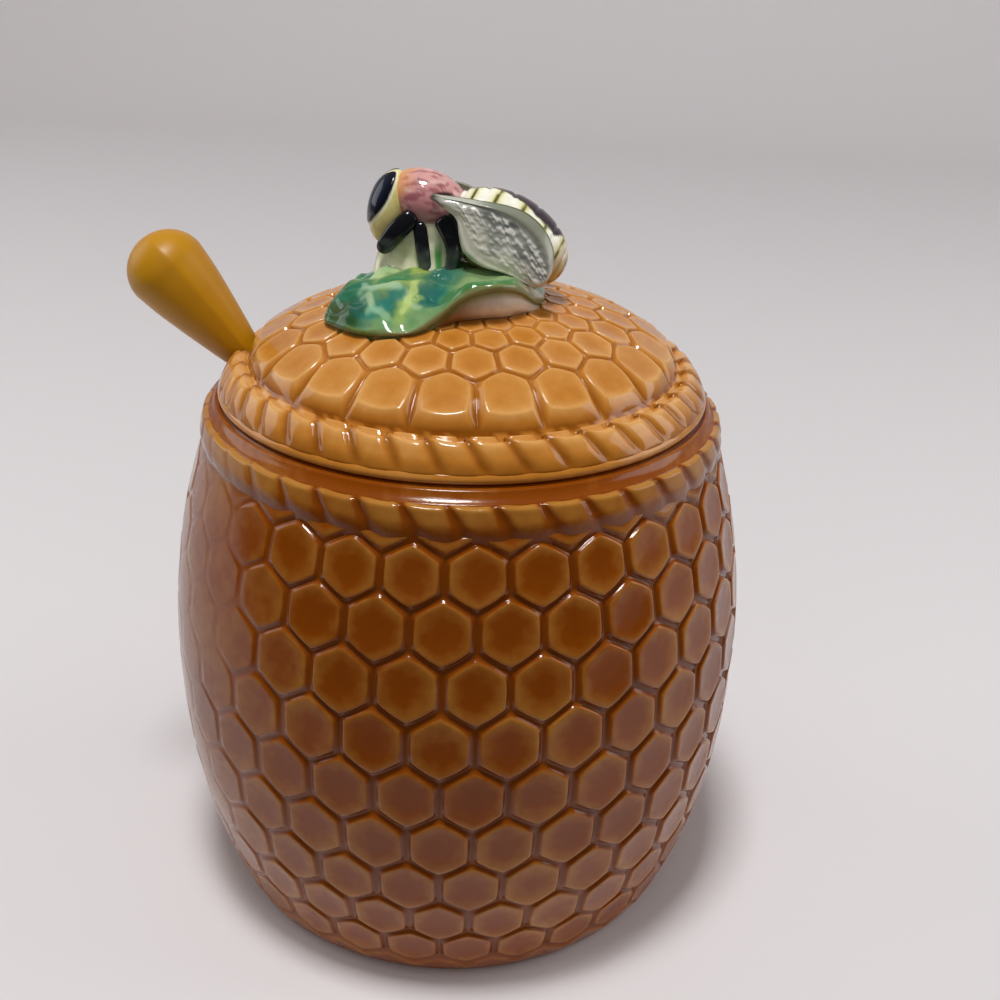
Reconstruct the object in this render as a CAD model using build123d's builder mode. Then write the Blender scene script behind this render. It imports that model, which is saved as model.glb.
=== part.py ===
from build123d import *

import os
from math import cos, degrees, hypot, pi, radians, sin

# Beehive honey pot: a barrel-shaped pot, a domed lid that lifts off, a bee on a leaf as the
# lid's knob, and a dipper that leans in the pot and comes out through a notch in the lid.
# Lengths are in millimetres. +Z is up, the origin is the centre of the foot ring on the
# table, and the notch, the dipper's handle and the bee's head all point towards -X.

# ---- Pot ----
belly_radius = 50.0
belly_height = 48.0
foot_radius = 40.9
neck_height = 84.0
lower_fullness = 2.36  # power of the curve from the belly down to the foot
upper_fullness = 2.0  # power of the curve from the belly up to the neck
pot_wall = 4.6
floor_thickness = 4.2
foot_recess = 1.8
foot_ring_width = 7.0
foot_round = 1.4
floor_round = 9.0

# ---- Honeycomb on the pot: rows of flat-faced hexagons, two points up, every second row turned ----
comb_cells = 30
comb_rows = 9
comb_top_height = 79.3  # middle of the top row
comb_depth = 0.9
comb_groove = 1.5
comb_stretch = 1.06  # height of a cell against a regular hexagon's, at the belly
comb_stretch_loss = 0.12  # less of it towards the foot and the neck
comb_angle = -78.8  # degrees from +X to a cell of the top row
foot_band = 3.4  # plain height below the last row

# ---- Mouth of the pot, and outwards from it the lip, shoulder, ledge and rope band ----
mouth_radius = 37.6
lip_round = 1.2
lip_width = 2.6
shoulder_height = 2.0
shoulder_width = 1.9
ledge_width = 0.6
band_height = 5.4
band_taper = 1.3
band_bulge = 0.7

# ---- Rope strands on the pot's band and round the lid ----
rope_strands = 40
rope_groove_depth = 0.9
rope_groove_width = 2.2
pot_rope_angle = -73.75  # degrees from +X to the middle of a groove
pot_rope_slant = 28.6
lid_rope_angle = -69.95
lid_rope_slant = 33.0

# ---- Lid ----
seat_gap = 0.2  # the lid's own unevenness keeps it this far off the lip
lid_overhang = 0.6  # past the lip of the pot
dome_rise = 17.0
dome_side_power = 2.43
dome_top_power = 1.56
rim_round = 0.8
lid_wall = 4.2
flange_depth = 5.0
flange_width = 3.4
flange_gap = 0.5
lid_comb_cells = 22
lid_comb_rows = (31.5, 25.0, 19.5, 15.2)  # radius of each row's middle
lid_comb_depth = 0.9
lid_comb_groove = 1.3
lid_comb_angle = -86.85
lid_comb_inner = 12.8  # inside this radius the dome is plain, under the leaf
rope_inner_radius = 36.9
notch_width = 10.0
notch_spring_height = 2.3  # from the lid's seat up to where the notch's arch begins

# ---- Dipper ----
dipper_lean = 41.9  # degrees from upright
stem_diameter = 4.6
rest_gap = 0.3
collar_diameter = 7.1  # where the handle leaves the lid
collar_distance = 4.0  # along the dipper, from where it lies on the lip
handle_length = 17.9
knob_diameter = 14.8
knob_end = 6.8
head_length = 34.0
head_diameter = 22.0
head_core_diameter = 8.0
rib_count = 8
rib_width = 2.1

# ---- Bee and leaf, with heights measured from the top of the dome ----
# Each leaf station: distance along X, then Y and height of the near edge, crest and far edge.
leaf_stations = [
    (13.6, (-6.0, 0.6), (0.0, 1.6), (6.5, 0.6)),
    (10.0, (-12.4, 4.4), (0.0, 4.6), (12.0, 4.0)),
    (4.0, (-15.2, 4.9), (0.0, 4.6), (15.0, 4.4)),
    (-3.0, (-17.8, 1.0), (-0.5, 4.4), (14.6, 2.6)),
    (-9.0, (-20.0, -1.2), (-2.0, 3.9), (12.0, 0.6)),
    (-15.0, (-18.0, -2.0), (-5.0, 2.2), (6.5, -0.4)),
    (-20.0, (-13.5, -2.6), (-8.0, -0.8), (-2.0, -1.8)),
    (-22.2, (-10.6, -3.6), (-9.0, -3.2), (-7.4, -3.6)),
]
leaf_root_depth = 9.0
mound_length = 12.8
mound_width = 8.8
mound_centre = -7.6
mound_base = 2.0
mound_top = 14.0
mound_round = 3.0

head_centre = (-13.0, 12.7)
head_half_height = 5.9
head_half_width = 4.2
head_tilt = 16.0
thorax_centre = (-6.2, 14.7)
thorax_half_length = 6.2
thorax_half_width = 5.0
thorax_tilt = 20.0
abdomen_centre = (7.0, 8.5)
abdomen_half_length = 10.6
abdomen_half_width = 6.8
abdomen_tilt = 35.0

wing_thickness = 1.6
wing_side = 5.5
wing_splay = 10.0
# Wing outline, distance along X and height, from the root round the top edge and back.
wing_outline = [
    (-4.2, 15.6),
    (6.0, 15.2),
    (12.4, 13.4),
    (14.6, 8.6),
    (13.4, 3.4),
    (8.6, 3.0),
    (2.2, 6.6),
    (-0.2, 12.6),
]
leg_thickness = 1.4
leg_widths = (2.2, 1.8, 2.2)
# Centre line of each leg from the body down, distance along X and height.
leg_lines = [
    [(-9.2, 13.4), (-13.2, 6.6)],
    [(-6.8, 13.4), (-6.0, 3.2)],
    [(-3.4, 13.6), (-1.8, 9.2), (-2.4, 3.4)],
]

# ---- Heights worked out from the sizes above ----
floor_height = foot_recess + floor_thickness
band_top = neck_height + band_height
lip_height = band_top + shoulder_height
lip_outer_radius = mouth_radius + lip_width
ledge_radius = lip_outer_radius + shoulder_width
band_top_radius = ledge_radius + ledge_width
neck_radius = band_top_radius + band_taper
lid_radius = lip_outer_radius + lid_overhang
seat_height = lip_height + seat_gap
dome_top = seat_height + dome_rise
flange_radius = mouth_radius - flange_gap
flange_inner_radius = flange_radius - flange_width
flange_bottom = seat_height - flange_depth
notch_centre_height = seat_height + notch_spring_height


def barrel_radius(height):
    """Outer radius of the barrel: the belly less a power of the distance from its height."""
    if height < belly_height:
        share = (belly_height - height) / belly_height
        return belly_radius - (belly_radius - foot_radius) * share**lower_fullness
    share = (height - belly_height) / (neck_height - belly_height)
    return belly_radius - (belly_radius - neck_radius) * share**upper_fullness


def dome_point(share, inset=0.0):
    """Radius and height on the lid's dome, or inset from it, at a share of the dome's rise."""
    radius = (lid_radius - inset) * (1 - share**dome_top_power) ** (1 / dome_side_power)
    return radius, seat_height + (dome_rise - inset) * share


def dome_share(radius, inset=0.0):
    """Share of the dome's rise at which it, or its inset copy, has this radius."""
    across = radius / (lid_radius - inset)
    return (1 - across**dome_side_power) ** (1 / dome_top_power)


def spread(first, last, count):
    """Evenly spaced values from first to last."""
    return [first + (last - first) * i / (count - 1) for i in range(count)]


def facet(low, high, sink):
    """Plane on the chord between two profile points, at +X, sunk a little; its Y runs to the second."""
    run, rise = high[0] - low[0], high[1] - low[1]
    long = hypot(run, rise)
    out = (rise / long, 0, -run / long)
    middle = ((low[0] + high[0]) / 2 - sink * out[0], 0, (low[1] + high[1]) / 2 - sink * out[2])
    return Plane(origin=middle, x_dir=(0, 1, 0), z_dir=out)


def groove_plane(low, high, lift, slant):
    """Plane across a rope's groove: X points out of the band and Z runs along the groove."""
    band = facet(low, high, -lift)
    along = band.y_dir * cos(radians(slant)) - band.x_dir * sin(radians(slant))
    return Plane(origin=band.origin, x_dir=band.z_dir, z_dir=along)


# ---- Honeycomb and rope grooves of the pot ----
cell_angle = 2 * pi / comb_cells
row_heights = [comb_top_height]
for _ in range(comb_rows - 1):
    above = row_heights[-1]
    pitch = cell_angle * 3**0.5 / 2 * barrel_radius(above)
    stretch = comb_stretch - comb_stretch_loss * ((above - pitch / 2 - belly_height) / 40) ** 2
    leaning = barrel_radius(above - pitch) - barrel_radius(above)
    row_heights.append(above - (abs(pitch * stretch) ** 2 - leaning**2) ** 0.5)

with BuildPart() as comb:
    for row, height in enumerate(row_heights):
        half_width = barrel_radius(height) * cell_angle / 2 - comb_groove / 2
        tall = half_width * 2 / 3**0.5 * comb_stretch
        low, high = ((barrel_radius(h), h) for h in (height - tall / 2, height + tall / 2))
        sink = half_width**2 / barrel_radius(height) / 2
        with BuildSketch(facet(low, high, sink), mode=Mode.PRIVATE) as cell:
            half = ((0, tall), (half_width, tall / 2), (half_width, -tall / 2), (0, -tall))
            Polygon(*half, *((-x, y) for x, y in reversed(half[1:3])), align=None)
        pad = extrude(cell.sketch, amount=-comb_depth - 0.5, mode=Mode.PRIVATE)
        turn = comb_angle + row % 2 * 180 / comb_cells
        with PolarLocations(0, comb_cells, start_angle=turn):
            add(pad)

band_low, band_high = (neck_radius, neck_height), (band_top_radius, band_top)
with BuildPart() as pot_grooves:
    plane = groove_plane(band_low, band_high, band_bulge, pot_rope_slant)
    with BuildSketch(plane, mode=Mode.PRIVATE) as groove:
        wide = rope_groove_width / 2 * (1 + 0.6 / rope_groove_depth)
        Polygon((-rope_groove_depth, 0), (0.6, -wide), (0.6, wide), align=None)
    cutter = extrude(groove.sketch, amount=band_height * 0.52, both=True, mode=Mode.PRIVATE)
    with PolarLocations(0, rope_strands, start_angle=pot_rope_angle):
        add(cutter)

# ---- Pot: revolved wall with a foot ring, a rope band, a sloping shoulder and a round lip ----
inner_start = floor_height + floor_round
comb_wall = [(barrel_radius(h) - comb_depth, h) for h in spread(foot_band, neck_height, 7)]
foot_wall = [(barrel_radius(h), h) for h in (foot_round, foot_band)]
inner_wall = [(barrel_radius(h) - pot_wall, h) for h in spread(inner_start, neck_height, 6)]
band_middle = ((neck_radius + band_top_radius) / 2 + band_bulge, (neck_height + band_top) / 2)
floor_edge = (inner_wall[0][0] - floor_round, floor_height)
lip_foot = (mouth_radius, lip_height - lip_round)

with BuildPart() as pot:
    with BuildSketch(Plane.XZ):
        with BuildLine():
            Polyline(
                floor_edge,
                (0, floor_height),
                (0, foot_recess),
                (foot_radius - foot_ring_width, foot_recess),
                (foot_radius - foot_ring_width, 0),
                (foot_radius - foot_round, 0),
            )
            TangentArc((foot_radius - foot_round, 0), foot_wall[0], tangent=(1, 0))
            Polyline(*foot_wall, comb_wall[0])
            Spline(*comb_wall)
            Line(comb_wall[-1], band_low)
            ThreePointArc(band_low, band_middle, band_high)
            Polyline(
                (band_top_radius, band_top),
                (ledge_radius, band_top),
                (lip_outer_radius, lip_height),
                (mouth_radius + lip_round, lip_height),
            )
            TangentArc((mouth_radius + lip_round, lip_height), lip_foot, tangent=(-1, 0))
            Spline(lip_foot, *reversed(inner_wall))
            TangentArc(floor_edge, inner_wall[0], tangent=(1, 0))
        make_face()
    revolve(axis=Axis.Z)
    add(comb.part)
    add(pot_grooves.part, mode=Mode.SUBTRACT)
pot.part.label = "pot"

# ---- Lid: domed shell with a locating flange and an arched notch for the dipper ----
rim_share = rim_round / dome_rise
outer_dome = [dome_point(s) for s in (rim_share, 0.15, 0.3, 0.5, 0.7, 0.86, 0.95, 1)]
inner_first = dome_share(flange_inner_radius, lid_wall)
inner_dome = [dome_point(s, lid_wall) for s in (*spread(inner_first, 0.92, 5), 1)]
rim_start = (outer_dome[0][0] - rim_round, seat_height)
rope_share = dome_share(rope_inner_radius)
rope_face = [dome_point(s) for s in spread(rim_share, rope_share, 4)]
comb_shares = (dome_share(r, lid_comb_depth) for r in (rope_inner_radius - 0.6, lid_comb_inner))
comb_dome = [dome_point(s, lid_comb_depth) for s in spread(*comb_shares, 6)]
crown = [dome_point(s) for s in spread(dome_share(lid_comb_inner), 1, 4)]

with BuildPart() as dome:
    with BuildSketch(Plane.XZ):
        with BuildLine():
            Polyline(
                outer_dome[-1],
                (0, flange_bottom),
                (lid_radius - rim_round, flange_bottom),
                (lid_radius - rim_round, seat_height),
                outer_dome[0],
            )
            Spline(*outer_dome)
        make_face()
    revolve(axis=Axis.Z)

# Honeycomb and rope grooves of the lid; the outermost row is pillows with long lower ends.
with BuildPart() as lid_comb:
    for row, radius in enumerate(lid_comb_rows):
        half_width = radius * pi / lid_comb_cells - lid_comb_groove / 2
        tall = half_width * 2 / 3**0.5
        drop = tall * 0.95 if row == 0 else tall / 2
        low, high = (dome_point(dome_share(r)) for r in (radius + 0.75 * drop, radius - 0.4 * tall))
        with BuildSketch(facet(low, high, half_width**2 / radius / 4), mode=Mode.PRIVATE) as cell:
            half = [(0, tall), (half_width * 0.92, tall / 2), (half_width * 1.04, -drop)]
            half.append((half_width * 0.6, -drop * 1.2) if row == 0 else (0, -tall))
            mirrored = [(-x, y) for x, y in reversed(half) if x]
            Polygon(*half, *mirrored, align=None)
        pad = extrude(cell.sketch, amount=-lid_comb_depth - 0.5, mode=Mode.PRIVATE)
        turn = lid_comb_angle + row % 2 * 180 / lid_comb_cells
        with PolarLocations(0, lid_comb_cells, start_angle=turn):
            add(pad)

with BuildPart() as lid_grooves:
    low, high = (dome_point(s) for s in (rim_share * 2, rope_share))
    with BuildSketch(groove_plane(low, high, 0.35, lid_rope_slant), mode=Mode.PRIVATE) as groove:
        wide = rope_groove_width / 2 * (1 + 0.8 / rope_groove_depth)
        Polygon((-rope_groove_depth, 0), (0.8, -wide), (0.8, wide), align=None)
    reach = hypot(high[0] - low[0], high[1] - low[1]) / 2 / cos(radians(lid_rope_slant))
    cutter = extrude(groove.sketch, amount=reach, both=True, mode=Mode.PRIVATE)
    with PolarLocations(0, rope_strands, start_angle=lid_rope_angle):
        add(cutter)

with BuildPart() as lid:
    with BuildSketch(Plane.XZ):
        with BuildLine():
            TangentArc(rim_start, rope_face[0], tangent=(1, 0))
            Spline(*rope_face)
            Line(rope_face[-1], comb_dome[0])
            Spline(*comb_dome)
            Line(comb_dome[-1], crown[0])
            Spline(*crown)
            Line(crown[-1], inner_dome[-1])
            Spline(*inner_dome)
            Polyline(
                inner_dome[0],
                (flange_inner_radius, flange_bottom),
                (flange_radius, flange_bottom),
                (flange_radius, seat_height),
                rim_start,
            )
        make_face()
    revolve(axis=Axis.Z)
    flange_edges = lid.edges().filter_by(GeomType.CIRCLE).group_by(Axis.Z)[0]
    fillet(flange_edges, flange_width / 4)
    add(lid_comb.part)
    add(lid_grooves.part, mode=Mode.SUBTRACT)
    with BuildSketch(Plane.YZ):
        with Locations((0, notch_centre_height)):
            Circle(notch_width / 2)
            Rectangle(notch_width, 2 * dome_rise, align=(Align.CENTER, Align.MAX))
    extrude(amount=-2 * lid_radius, mode=Mode.SUBTRACT)
lid.part.label = "lid"


def spheroid(centre, half_length, half_width, tilt):
    """Ellipsoid whose long axis leans by tilt degrees below +X."""
    place = Plane(
        origin=(centre[0], 0, dome_top + centre[1]),
        x_dir=(cos(radians(tilt)), 0, -sin(radians(tilt))),
        z_dir=(0, -1, 0),
    )
    with BuildPart() as ball:
        Sphere(1)
        scale(by=(half_length, half_width, half_width))
    return ball.part.moved(place.location)


# ---- Bee: head, thorax and abdomen as one body ----
head = spheroid(head_centre, head_half_height, head_half_width, 90 + head_tilt)
thorax = spheroid(thorax_centre, thorax_half_length, thorax_half_width, thorax_tilt)
abdomen = spheroid(abdomen_centre, abdomen_half_length, abdomen_half_width, abdomen_tilt)

with BuildPart() as bee_body:
    add(head)
    add(thorax)
    add(abdomen)
bee_body.part.label = "bee_body"

# ---- Leaf: a thick blade over the dome, with the mound between its top and the bee ----
with BuildPart() as leaf:
    for along, near, crest, far in leaf_stations:
        root = dome_top - leaf_root_depth
        near_edge, crest_point, far_edge = ((y, dome_top + z) for y, z in (near, crest, far))
        with BuildSketch(Plane.YZ.offset(along)):
            with BuildLine():
                Polyline(near_edge, (near[0], root), (far[0], root), far_edge)
                Spline(near_edge, crest_point, far_edge)
            make_face()
    loft()
    with BuildSketch(Plane.XY.offset(dome_top + mound_base)):
        with Locations((mound_centre, 0)):
            RectangleRounded(mound_length, mound_width, mound_round)
    extrude(amount=mound_top - mound_base)
    add([dome.part, bee_body.part], mode=Mode.SUBTRACT)
leaf.part.label = "leaf"

# ---- Wings: one blade on each side of the abdomen, splayed outwards at the bottom ----
wing_outline_lifted = [(x, dome_top + z) for x, z in wing_outline]
wing_root = (wing_outline[0][0], 0, dome_top + wing_outline[0][1])
wings = {}
for side, name in ((-1, "bee_left_wing"), (1, "bee_right_wing")):
    with BuildPart() as wing:
        with BuildSketch(Plane.XZ.offset(-side * wing_side)):
            with BuildLine():
                Spline(*wing_outline_lifted, periodic=True)
            make_face()
        extrude(amount=-side * wing_thickness)
    splayed = wing.part.rotate(Axis(wing_root, (1, 0, 0)), side * wing_splay)
    with BuildPart() as wing:
        add(splayed)
        add([bee_body.part, leaf.part, dome.part], mode=Mode.SUBTRACT)
    wing.part.label = name
    wings[name] = wing.part

# ---- Legs: three on each side, lying against the mound ----
legs_by_side = {}
for side, name in ((-1, "bee_left_legs"), (1, "bee_right_legs")):
    with BuildPart() as leg_group:
        for points, width in zip(leg_lines, leg_widths):
            lifted = [(x, dome_top + z) for x, z in points]
            with BuildSketch(Plane.XZ.offset(-side * mound_width / 2)):
                with BuildLine() as centre_line:
                    Polyline(*lifted)
                trace(line_width=width)
            extrude(amount=-side * leg_thickness)
        add([bee_body.part, leaf.part, *wings.values()], mode=Mode.SUBTRACT)
    leg_group.part.label = name
    legs_by_side[name] = leg_group.part

# ---- Dipper: leans on the lip with its ribbed head against the far wall or the floor ----
lean = radians(dipper_lean)
outwards = Vector(-sin(lean), 0, cos(lean))
rest_distance = lip_round + rest_gap + stem_diameter / 2
rest_point = Vector(
    -(mouth_radius + lip_round - rest_distance * cos(lean)),
    0,
    lip_height - lip_round + rest_distance * sin(lean),
)


def head_gap(distance):
    """Least gap from the head to the wall and the floor, with its centre that far down."""
    centre = rest_point - outwards * distance
    gaps = []
    for turn in spread(0, 2 * pi, 73):
        along, across = head_length / 2 * cos(turn), head_diameter / 2 * sin(turn)
        x = centre.X + along * outwards.X + across * outwards.Z
        z = centre.Z + along * outwards.Z - across * outwards.X
        gaps += [z - floor_height, barrel_radius(max(z, 0)) - pot_wall - x]
    return min(gaps)


too_high, too_low = 0.0, 4 * belly_radius
for _ in range(30):
    head_distance = (too_high + too_low) / 2
    if head_gap(head_distance) > rest_gap:
        too_high = head_distance
    else:
        too_low = head_distance

knob_start = collar_distance + handle_length
rib_pitch = head_length / rib_count

with BuildPart() as dipper:
    with BuildSketch(Plane(rest_point, x_dir=outwards, z_dir=(0, -1, 0))):
        with BuildLine():
            Polyline(
                (knob_start + knob_end, 0),
                (-head_distance, 0),
                (-head_distance, stem_diameter / 2),
                (0, stem_diameter / 2),
                (collar_distance, collar_diameter / 2),
                (knob_start, knob_diameter / 2),
            )
            EllipticalCenterArc((knob_start, 0), knob_end, knob_diameter / 2, arc_size=90)
        make_face()
        with Locations((-head_distance, 0)):
            Rectangle(head_length - rib_pitch, head_core_diameter / 2, align=(Align.CENTER, Align.MIN))
        for i in range(rib_count):
            from_centre = (i + 0.5) * rib_pitch - head_length / 2
            rib_end = abs(from_centre) + rib_width / 2
            rib_radius = head_diameter / 2 * (1 - (2 * rib_end / head_length) ** 2) ** 0.5
            with Locations((from_centre - head_distance, 0)):
                Rectangle(rib_width, rib_radius, align=(Align.CENTER, Align.MIN))
    revolve(axis=Axis(rest_point, outwards))
dipper.part.label = "dipper"

os.makedirs("parts", exist_ok=True)
finished = [pot.part, lid.part, leaf.part, bee_body.part, dipper.part]
for piece in [*finished, *wings.values(), *legs_by_side.values()]:
    export_step(piece, f"parts/{piece.label}.step")
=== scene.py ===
# %% [markdown]
# # A beehive honey pot
#
# A slip-cast pot covered in glazed honeycomb, a domed lid that lifts off, a bee on a leaf as the
# lid's knob, and a moulded dipper that leans out through a notch in the lid. Sizes and places follow
# the solid model. What it leaves out is what this lesson makes: the cells, the rope borders, the
# sculpted knob, the glazes and the plastic.

# %% The solid model and the tools
from math import cos, pi, radians, sin, tau

import bmesh
import bpy
import numpy as np
from mathutils import Matrix, Vector


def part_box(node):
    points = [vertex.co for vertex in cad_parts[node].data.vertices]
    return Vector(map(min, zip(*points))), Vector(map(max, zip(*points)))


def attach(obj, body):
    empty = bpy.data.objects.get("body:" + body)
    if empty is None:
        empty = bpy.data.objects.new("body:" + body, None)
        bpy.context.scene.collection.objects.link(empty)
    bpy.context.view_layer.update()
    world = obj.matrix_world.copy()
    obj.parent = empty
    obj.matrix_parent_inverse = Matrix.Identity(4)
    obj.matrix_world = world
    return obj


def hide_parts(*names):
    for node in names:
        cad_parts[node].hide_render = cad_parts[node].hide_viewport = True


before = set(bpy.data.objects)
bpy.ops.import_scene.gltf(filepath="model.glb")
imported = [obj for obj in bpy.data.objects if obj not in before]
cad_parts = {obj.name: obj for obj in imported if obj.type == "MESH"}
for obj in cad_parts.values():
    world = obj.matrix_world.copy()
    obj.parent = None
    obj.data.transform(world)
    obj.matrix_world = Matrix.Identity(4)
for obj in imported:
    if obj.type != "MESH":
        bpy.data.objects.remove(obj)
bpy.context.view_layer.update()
pot_low, pot_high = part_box("pot")
lid_low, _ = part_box("lid")

# %% [markdown]
# Small helpers serve the whole lesson. They turn the colours of a paint chart (sRGB hex) into the
# linear numbers that a shader works in, add shader nodes with their settings and links, and turn
# arrays of points and faces into objects. Points are kept in millimetres until then, because a
# potter's sizes are easy to check in millimetres.

# %% Colours, shader nodes and materials
mm = 0.001


def linear(hex_code):
    """Linear RGBA of an sRGB hex colour: c / 12.92 near black, ((c + 0.055) / 1.055) ^ 2.4 above."""
    srgb = np.array([int(hex_code[i : i + 2], 16) for i in (0, 2, 4)]) / 255
    rgb = np.where(srgb <= 0.04045, srgb / 12.92, ((srgb + 0.055) / 1.055) ** 2.4)
    return (*(float(c) for c in rgb), 1.0)


def add_node(tree, kind, inputs, **settings):
    """One node: each input is a value for that socket, or another node's output to link to it."""
    node = tree.nodes.new(kind)
    for name, value in settings.items():
        setattr(node, name, value)
    for socket, value in inputs.items():
        if isinstance(value, bpy.types.NodeSocket):
            tree.links.new(value, node.inputs[socket])
        else:
            node.inputs[socket].default_value = value
    return node


def new_material(name, roughness, ior):
    """A material, its node tree and its shader, which has this roughness and IOR."""
    material = bpy.data.materials.new(name)
    material.use_nodes = True
    shader = material.node_tree.nodes["Principled BSDF"]
    shader.inputs["Roughness"].default_value = roughness
    shader.inputs["IOR"].default_value = ior
    return material, material.node_tree, shader


# %% Smooth steps and bell curves
def ease(low, high, value):
    """0 below low, 1 above high, and 3t^2 - 2t^3 between them; high may be below low."""
    t = np.clip((value - low) / (high - low), 0, 1)
    return t * t * (3 - 2 * t)


def band(value, start, full, fade, end):
    """0 before start, 1 from full to fade and 0 again after end, with smooth steps between them."""
    return ease(start, full, value) * ease(end, fade, value)


def bell(value, width):
    """A bell curve, e ^ -(value / width)^2: 1 at 0 and close to 0 from twice the width on."""
    return np.exp(-((value / width) ** 2))


def wrapped(angle):
    """The same angle, brought between -pi and pi."""
    return (angle + pi) % tau - pi


# %% Meshes from arrays
def open_edges(work):
    """How many edges of a mesh don't lie between exactly two faces."""
    return sum(1 for edge in work.edges if not edge.is_manifold)


def make_object(name, points, faces, **attributes):
    """An object of points in millimetres; doubles are merged and faces turned to point outwards."""
    mesh = bpy.data.meshes.new(name)
    mesh.from_pydata((np.asarray(points) * mm).tolist(), [], faces)
    for label, values in attributes.items():
        values = np.asarray(values, np.float32)
        kind, field = ("FLOAT_COLOR", "color") if values.ndim == 2 else ("FLOAT", "value")
        mesh.attributes.new(label, kind, "POINT").data.foreach_set(field, values.ravel())
    work = bmesh.new()
    work.from_mesh(mesh)
    bmesh.ops.remove_doubles(work, verts=work.verts, dist=0.002 * mm)
    bmesh.ops.recalc_face_normals(work, faces=work.faces)
    open_count = open_edges(work)
    work.to_mesh(mesh)
    work.free()
    mesh.shade_smooth()
    piece = bpy.data.objects.new(name, mesh)
    bpy.context.collection.objects.link(piece)
    print(f"{name}: {len(mesh.polygons)} faces, {open_count} open or crossed edges")
    return piece


def grid_faces(rows, columns, first=0, closed=False):
    """Quads of a grid of points that starts at index first; closed joins the last column to column 0."""
    row = np.arange(rows - 1)[:, None]
    column = np.arange(columns if closed else columns - 1)[None, :]
    beside = (column + 1) % columns
    corners = [row * columns + column, row * columns + beside]
    corners += [(row + 1) * columns + beside, (row + 1) * columns + column]
    return (first + np.stack(np.broadcast_arrays(*corners), -1).reshape(-1, 4)).tolist()


class Skin:
    """Collects the patches of one piece: points, faces and a value at each point, its glaze or paint."""

    def __init__(self, value_name):
        self.value_name = value_name
        self.points, self.faces, self.values, self.count = [], [], [], 0

    def add_grid(self, points, values):
        """Adds a grid whose last column joins its first; a value is a number or a colour."""
        rows, columns = points.shape[:2]
        channels = np.shape(values)[2:]
        self.faces += grid_faces(rows, columns, self.count, closed=True)
        self.points.append(points.reshape(-1, 3))
        self.values.append(np.broadcast_to(values, (rows, columns, *channels)).reshape(-1, *channels))
        self.count += rows * columns

    def build(self, name):
        values = {self.value_name: np.concatenate(self.values)}
        return make_object(name, np.concatenate(self.points), self.faces, **values)


# %% [markdown]
# ## Stage, light and camera
#
# A shiny glaze shows its surroundings as much as its own colour. Here it stands on a pale sheet that
# curves up behind it and is painted near-black, as a painted shade, just in front of the foot. The
# sides of the pot mirror the pale sheet at a grazing angle and turn milky, while the front mirrors
# that painted shade and the dim room, and keeps its deep amber. A soft lamp above gives the thin
# highlights along the edges of the cells, a small one near it sharpens them, and wide lamps in front
# and at both sides fill the shade.

# %% Camera
camera_place = Vector((28.66, -207.85, 168.86)) * mm
camera_heading = radians(5.963)
camera_tilt = radians(-25.095)
camera_roll = radians(2.009)
camera_data = bpy.data.cameras.new("camera")
camera_data.sensor_width = 36
camera_data.lens = 47.23
camera_data.clip_start = 1 * mm
camera = bpy.data.objects.new("camera", camera_data)
turns = Matrix.Rotation(camera_heading, 4, "Z") @ Matrix.Rotation(pi / 2 + camera_tilt, 4, "X")
camera.matrix_world = Matrix.Translation(camera_place) @ turns @ Matrix.Rotation(camera_roll, 4, "Z")
bpy.context.collection.objects.link(camera)
bpy.context.scene.camera = camera
bpy.context.scene.view_settings.view_transform = "Standard"
print("camera", round((camera_place - (pot_low + pot_high) / 2).length / mm), "mm from the pot")


# %% The sweep: floor and backdrop in one sheet
def sweep_sheet(half_width, front, back, bend_radius, height):
    """A flat floor, a quarter circle up from it and a wall: a line carried sideways along X."""
    turn = np.linspace(0, pi / 2, 24)
    along = [np.full(1, -front), np.full(1, 0.0), back + bend_radius * np.sin(turn)]
    up = [np.zeros(1), np.zeros(1), bend_radius * (1 - np.cos(turn))]
    y = np.concatenate([*along, np.full(1, back + bend_radius)])
    z = np.concatenate([*up, np.full(1, height)])
    x = np.array([-half_width, half_width])
    return np.stack(np.broadcast_arrays(x[None, :], y[:, None], z[:, None]), -1)


sheet = sweep_sheet(half_width=1500, front=1200, back=760, bend_radius=350, height=1500)
sweep = make_object("sweep", sheet.reshape(-1, 3), grid_faces(*sheet.shape[:2]))

# %% Matt paper, with a painted shade on it in front of the foot
# Along Y the paper is painted near-black, as a painted shade, up to the first value below, and has its
# full colour from paper_start, 20 mm in front of the foot. Far away the paper glows a touch brighter, to the
# eye and to the glaze alike.
floor_shade_end, paper_start = -140 * mm, -60 * mm
glow_start, glow_end, glow_strength = 80 * mm, 1300 * mm, 0.27

paper, paper_tree, paper_shader = new_material("matt paper", roughness=0.9, ior=1.5)
spot = add_node(paper_tree, "ShaderNodeTexCoord", {}).outputs["Object"]
forward = add_node(paper_tree, "ShaderNodeSeparateXYZ", {"Vector": spot}).outputs["Y"]
edge = {"Value": forward, "From Min": floor_shade_end, "From Max": paper_start}
out_of_floor_shade = add_node(paper_tree, "ShaderNodeMapRange", edge).outputs[0]
# 3A3738 is a painted shade: the paper turns near-black in front of the foot.
colours = {"Factor": out_of_floor_shade, "A": linear("3A3738"), "B": linear("EAE6E7")}
paper_colour = add_node(paper_tree, "ShaderNodeMix", colours, data_type="RGBA").outputs["Result"]

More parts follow.
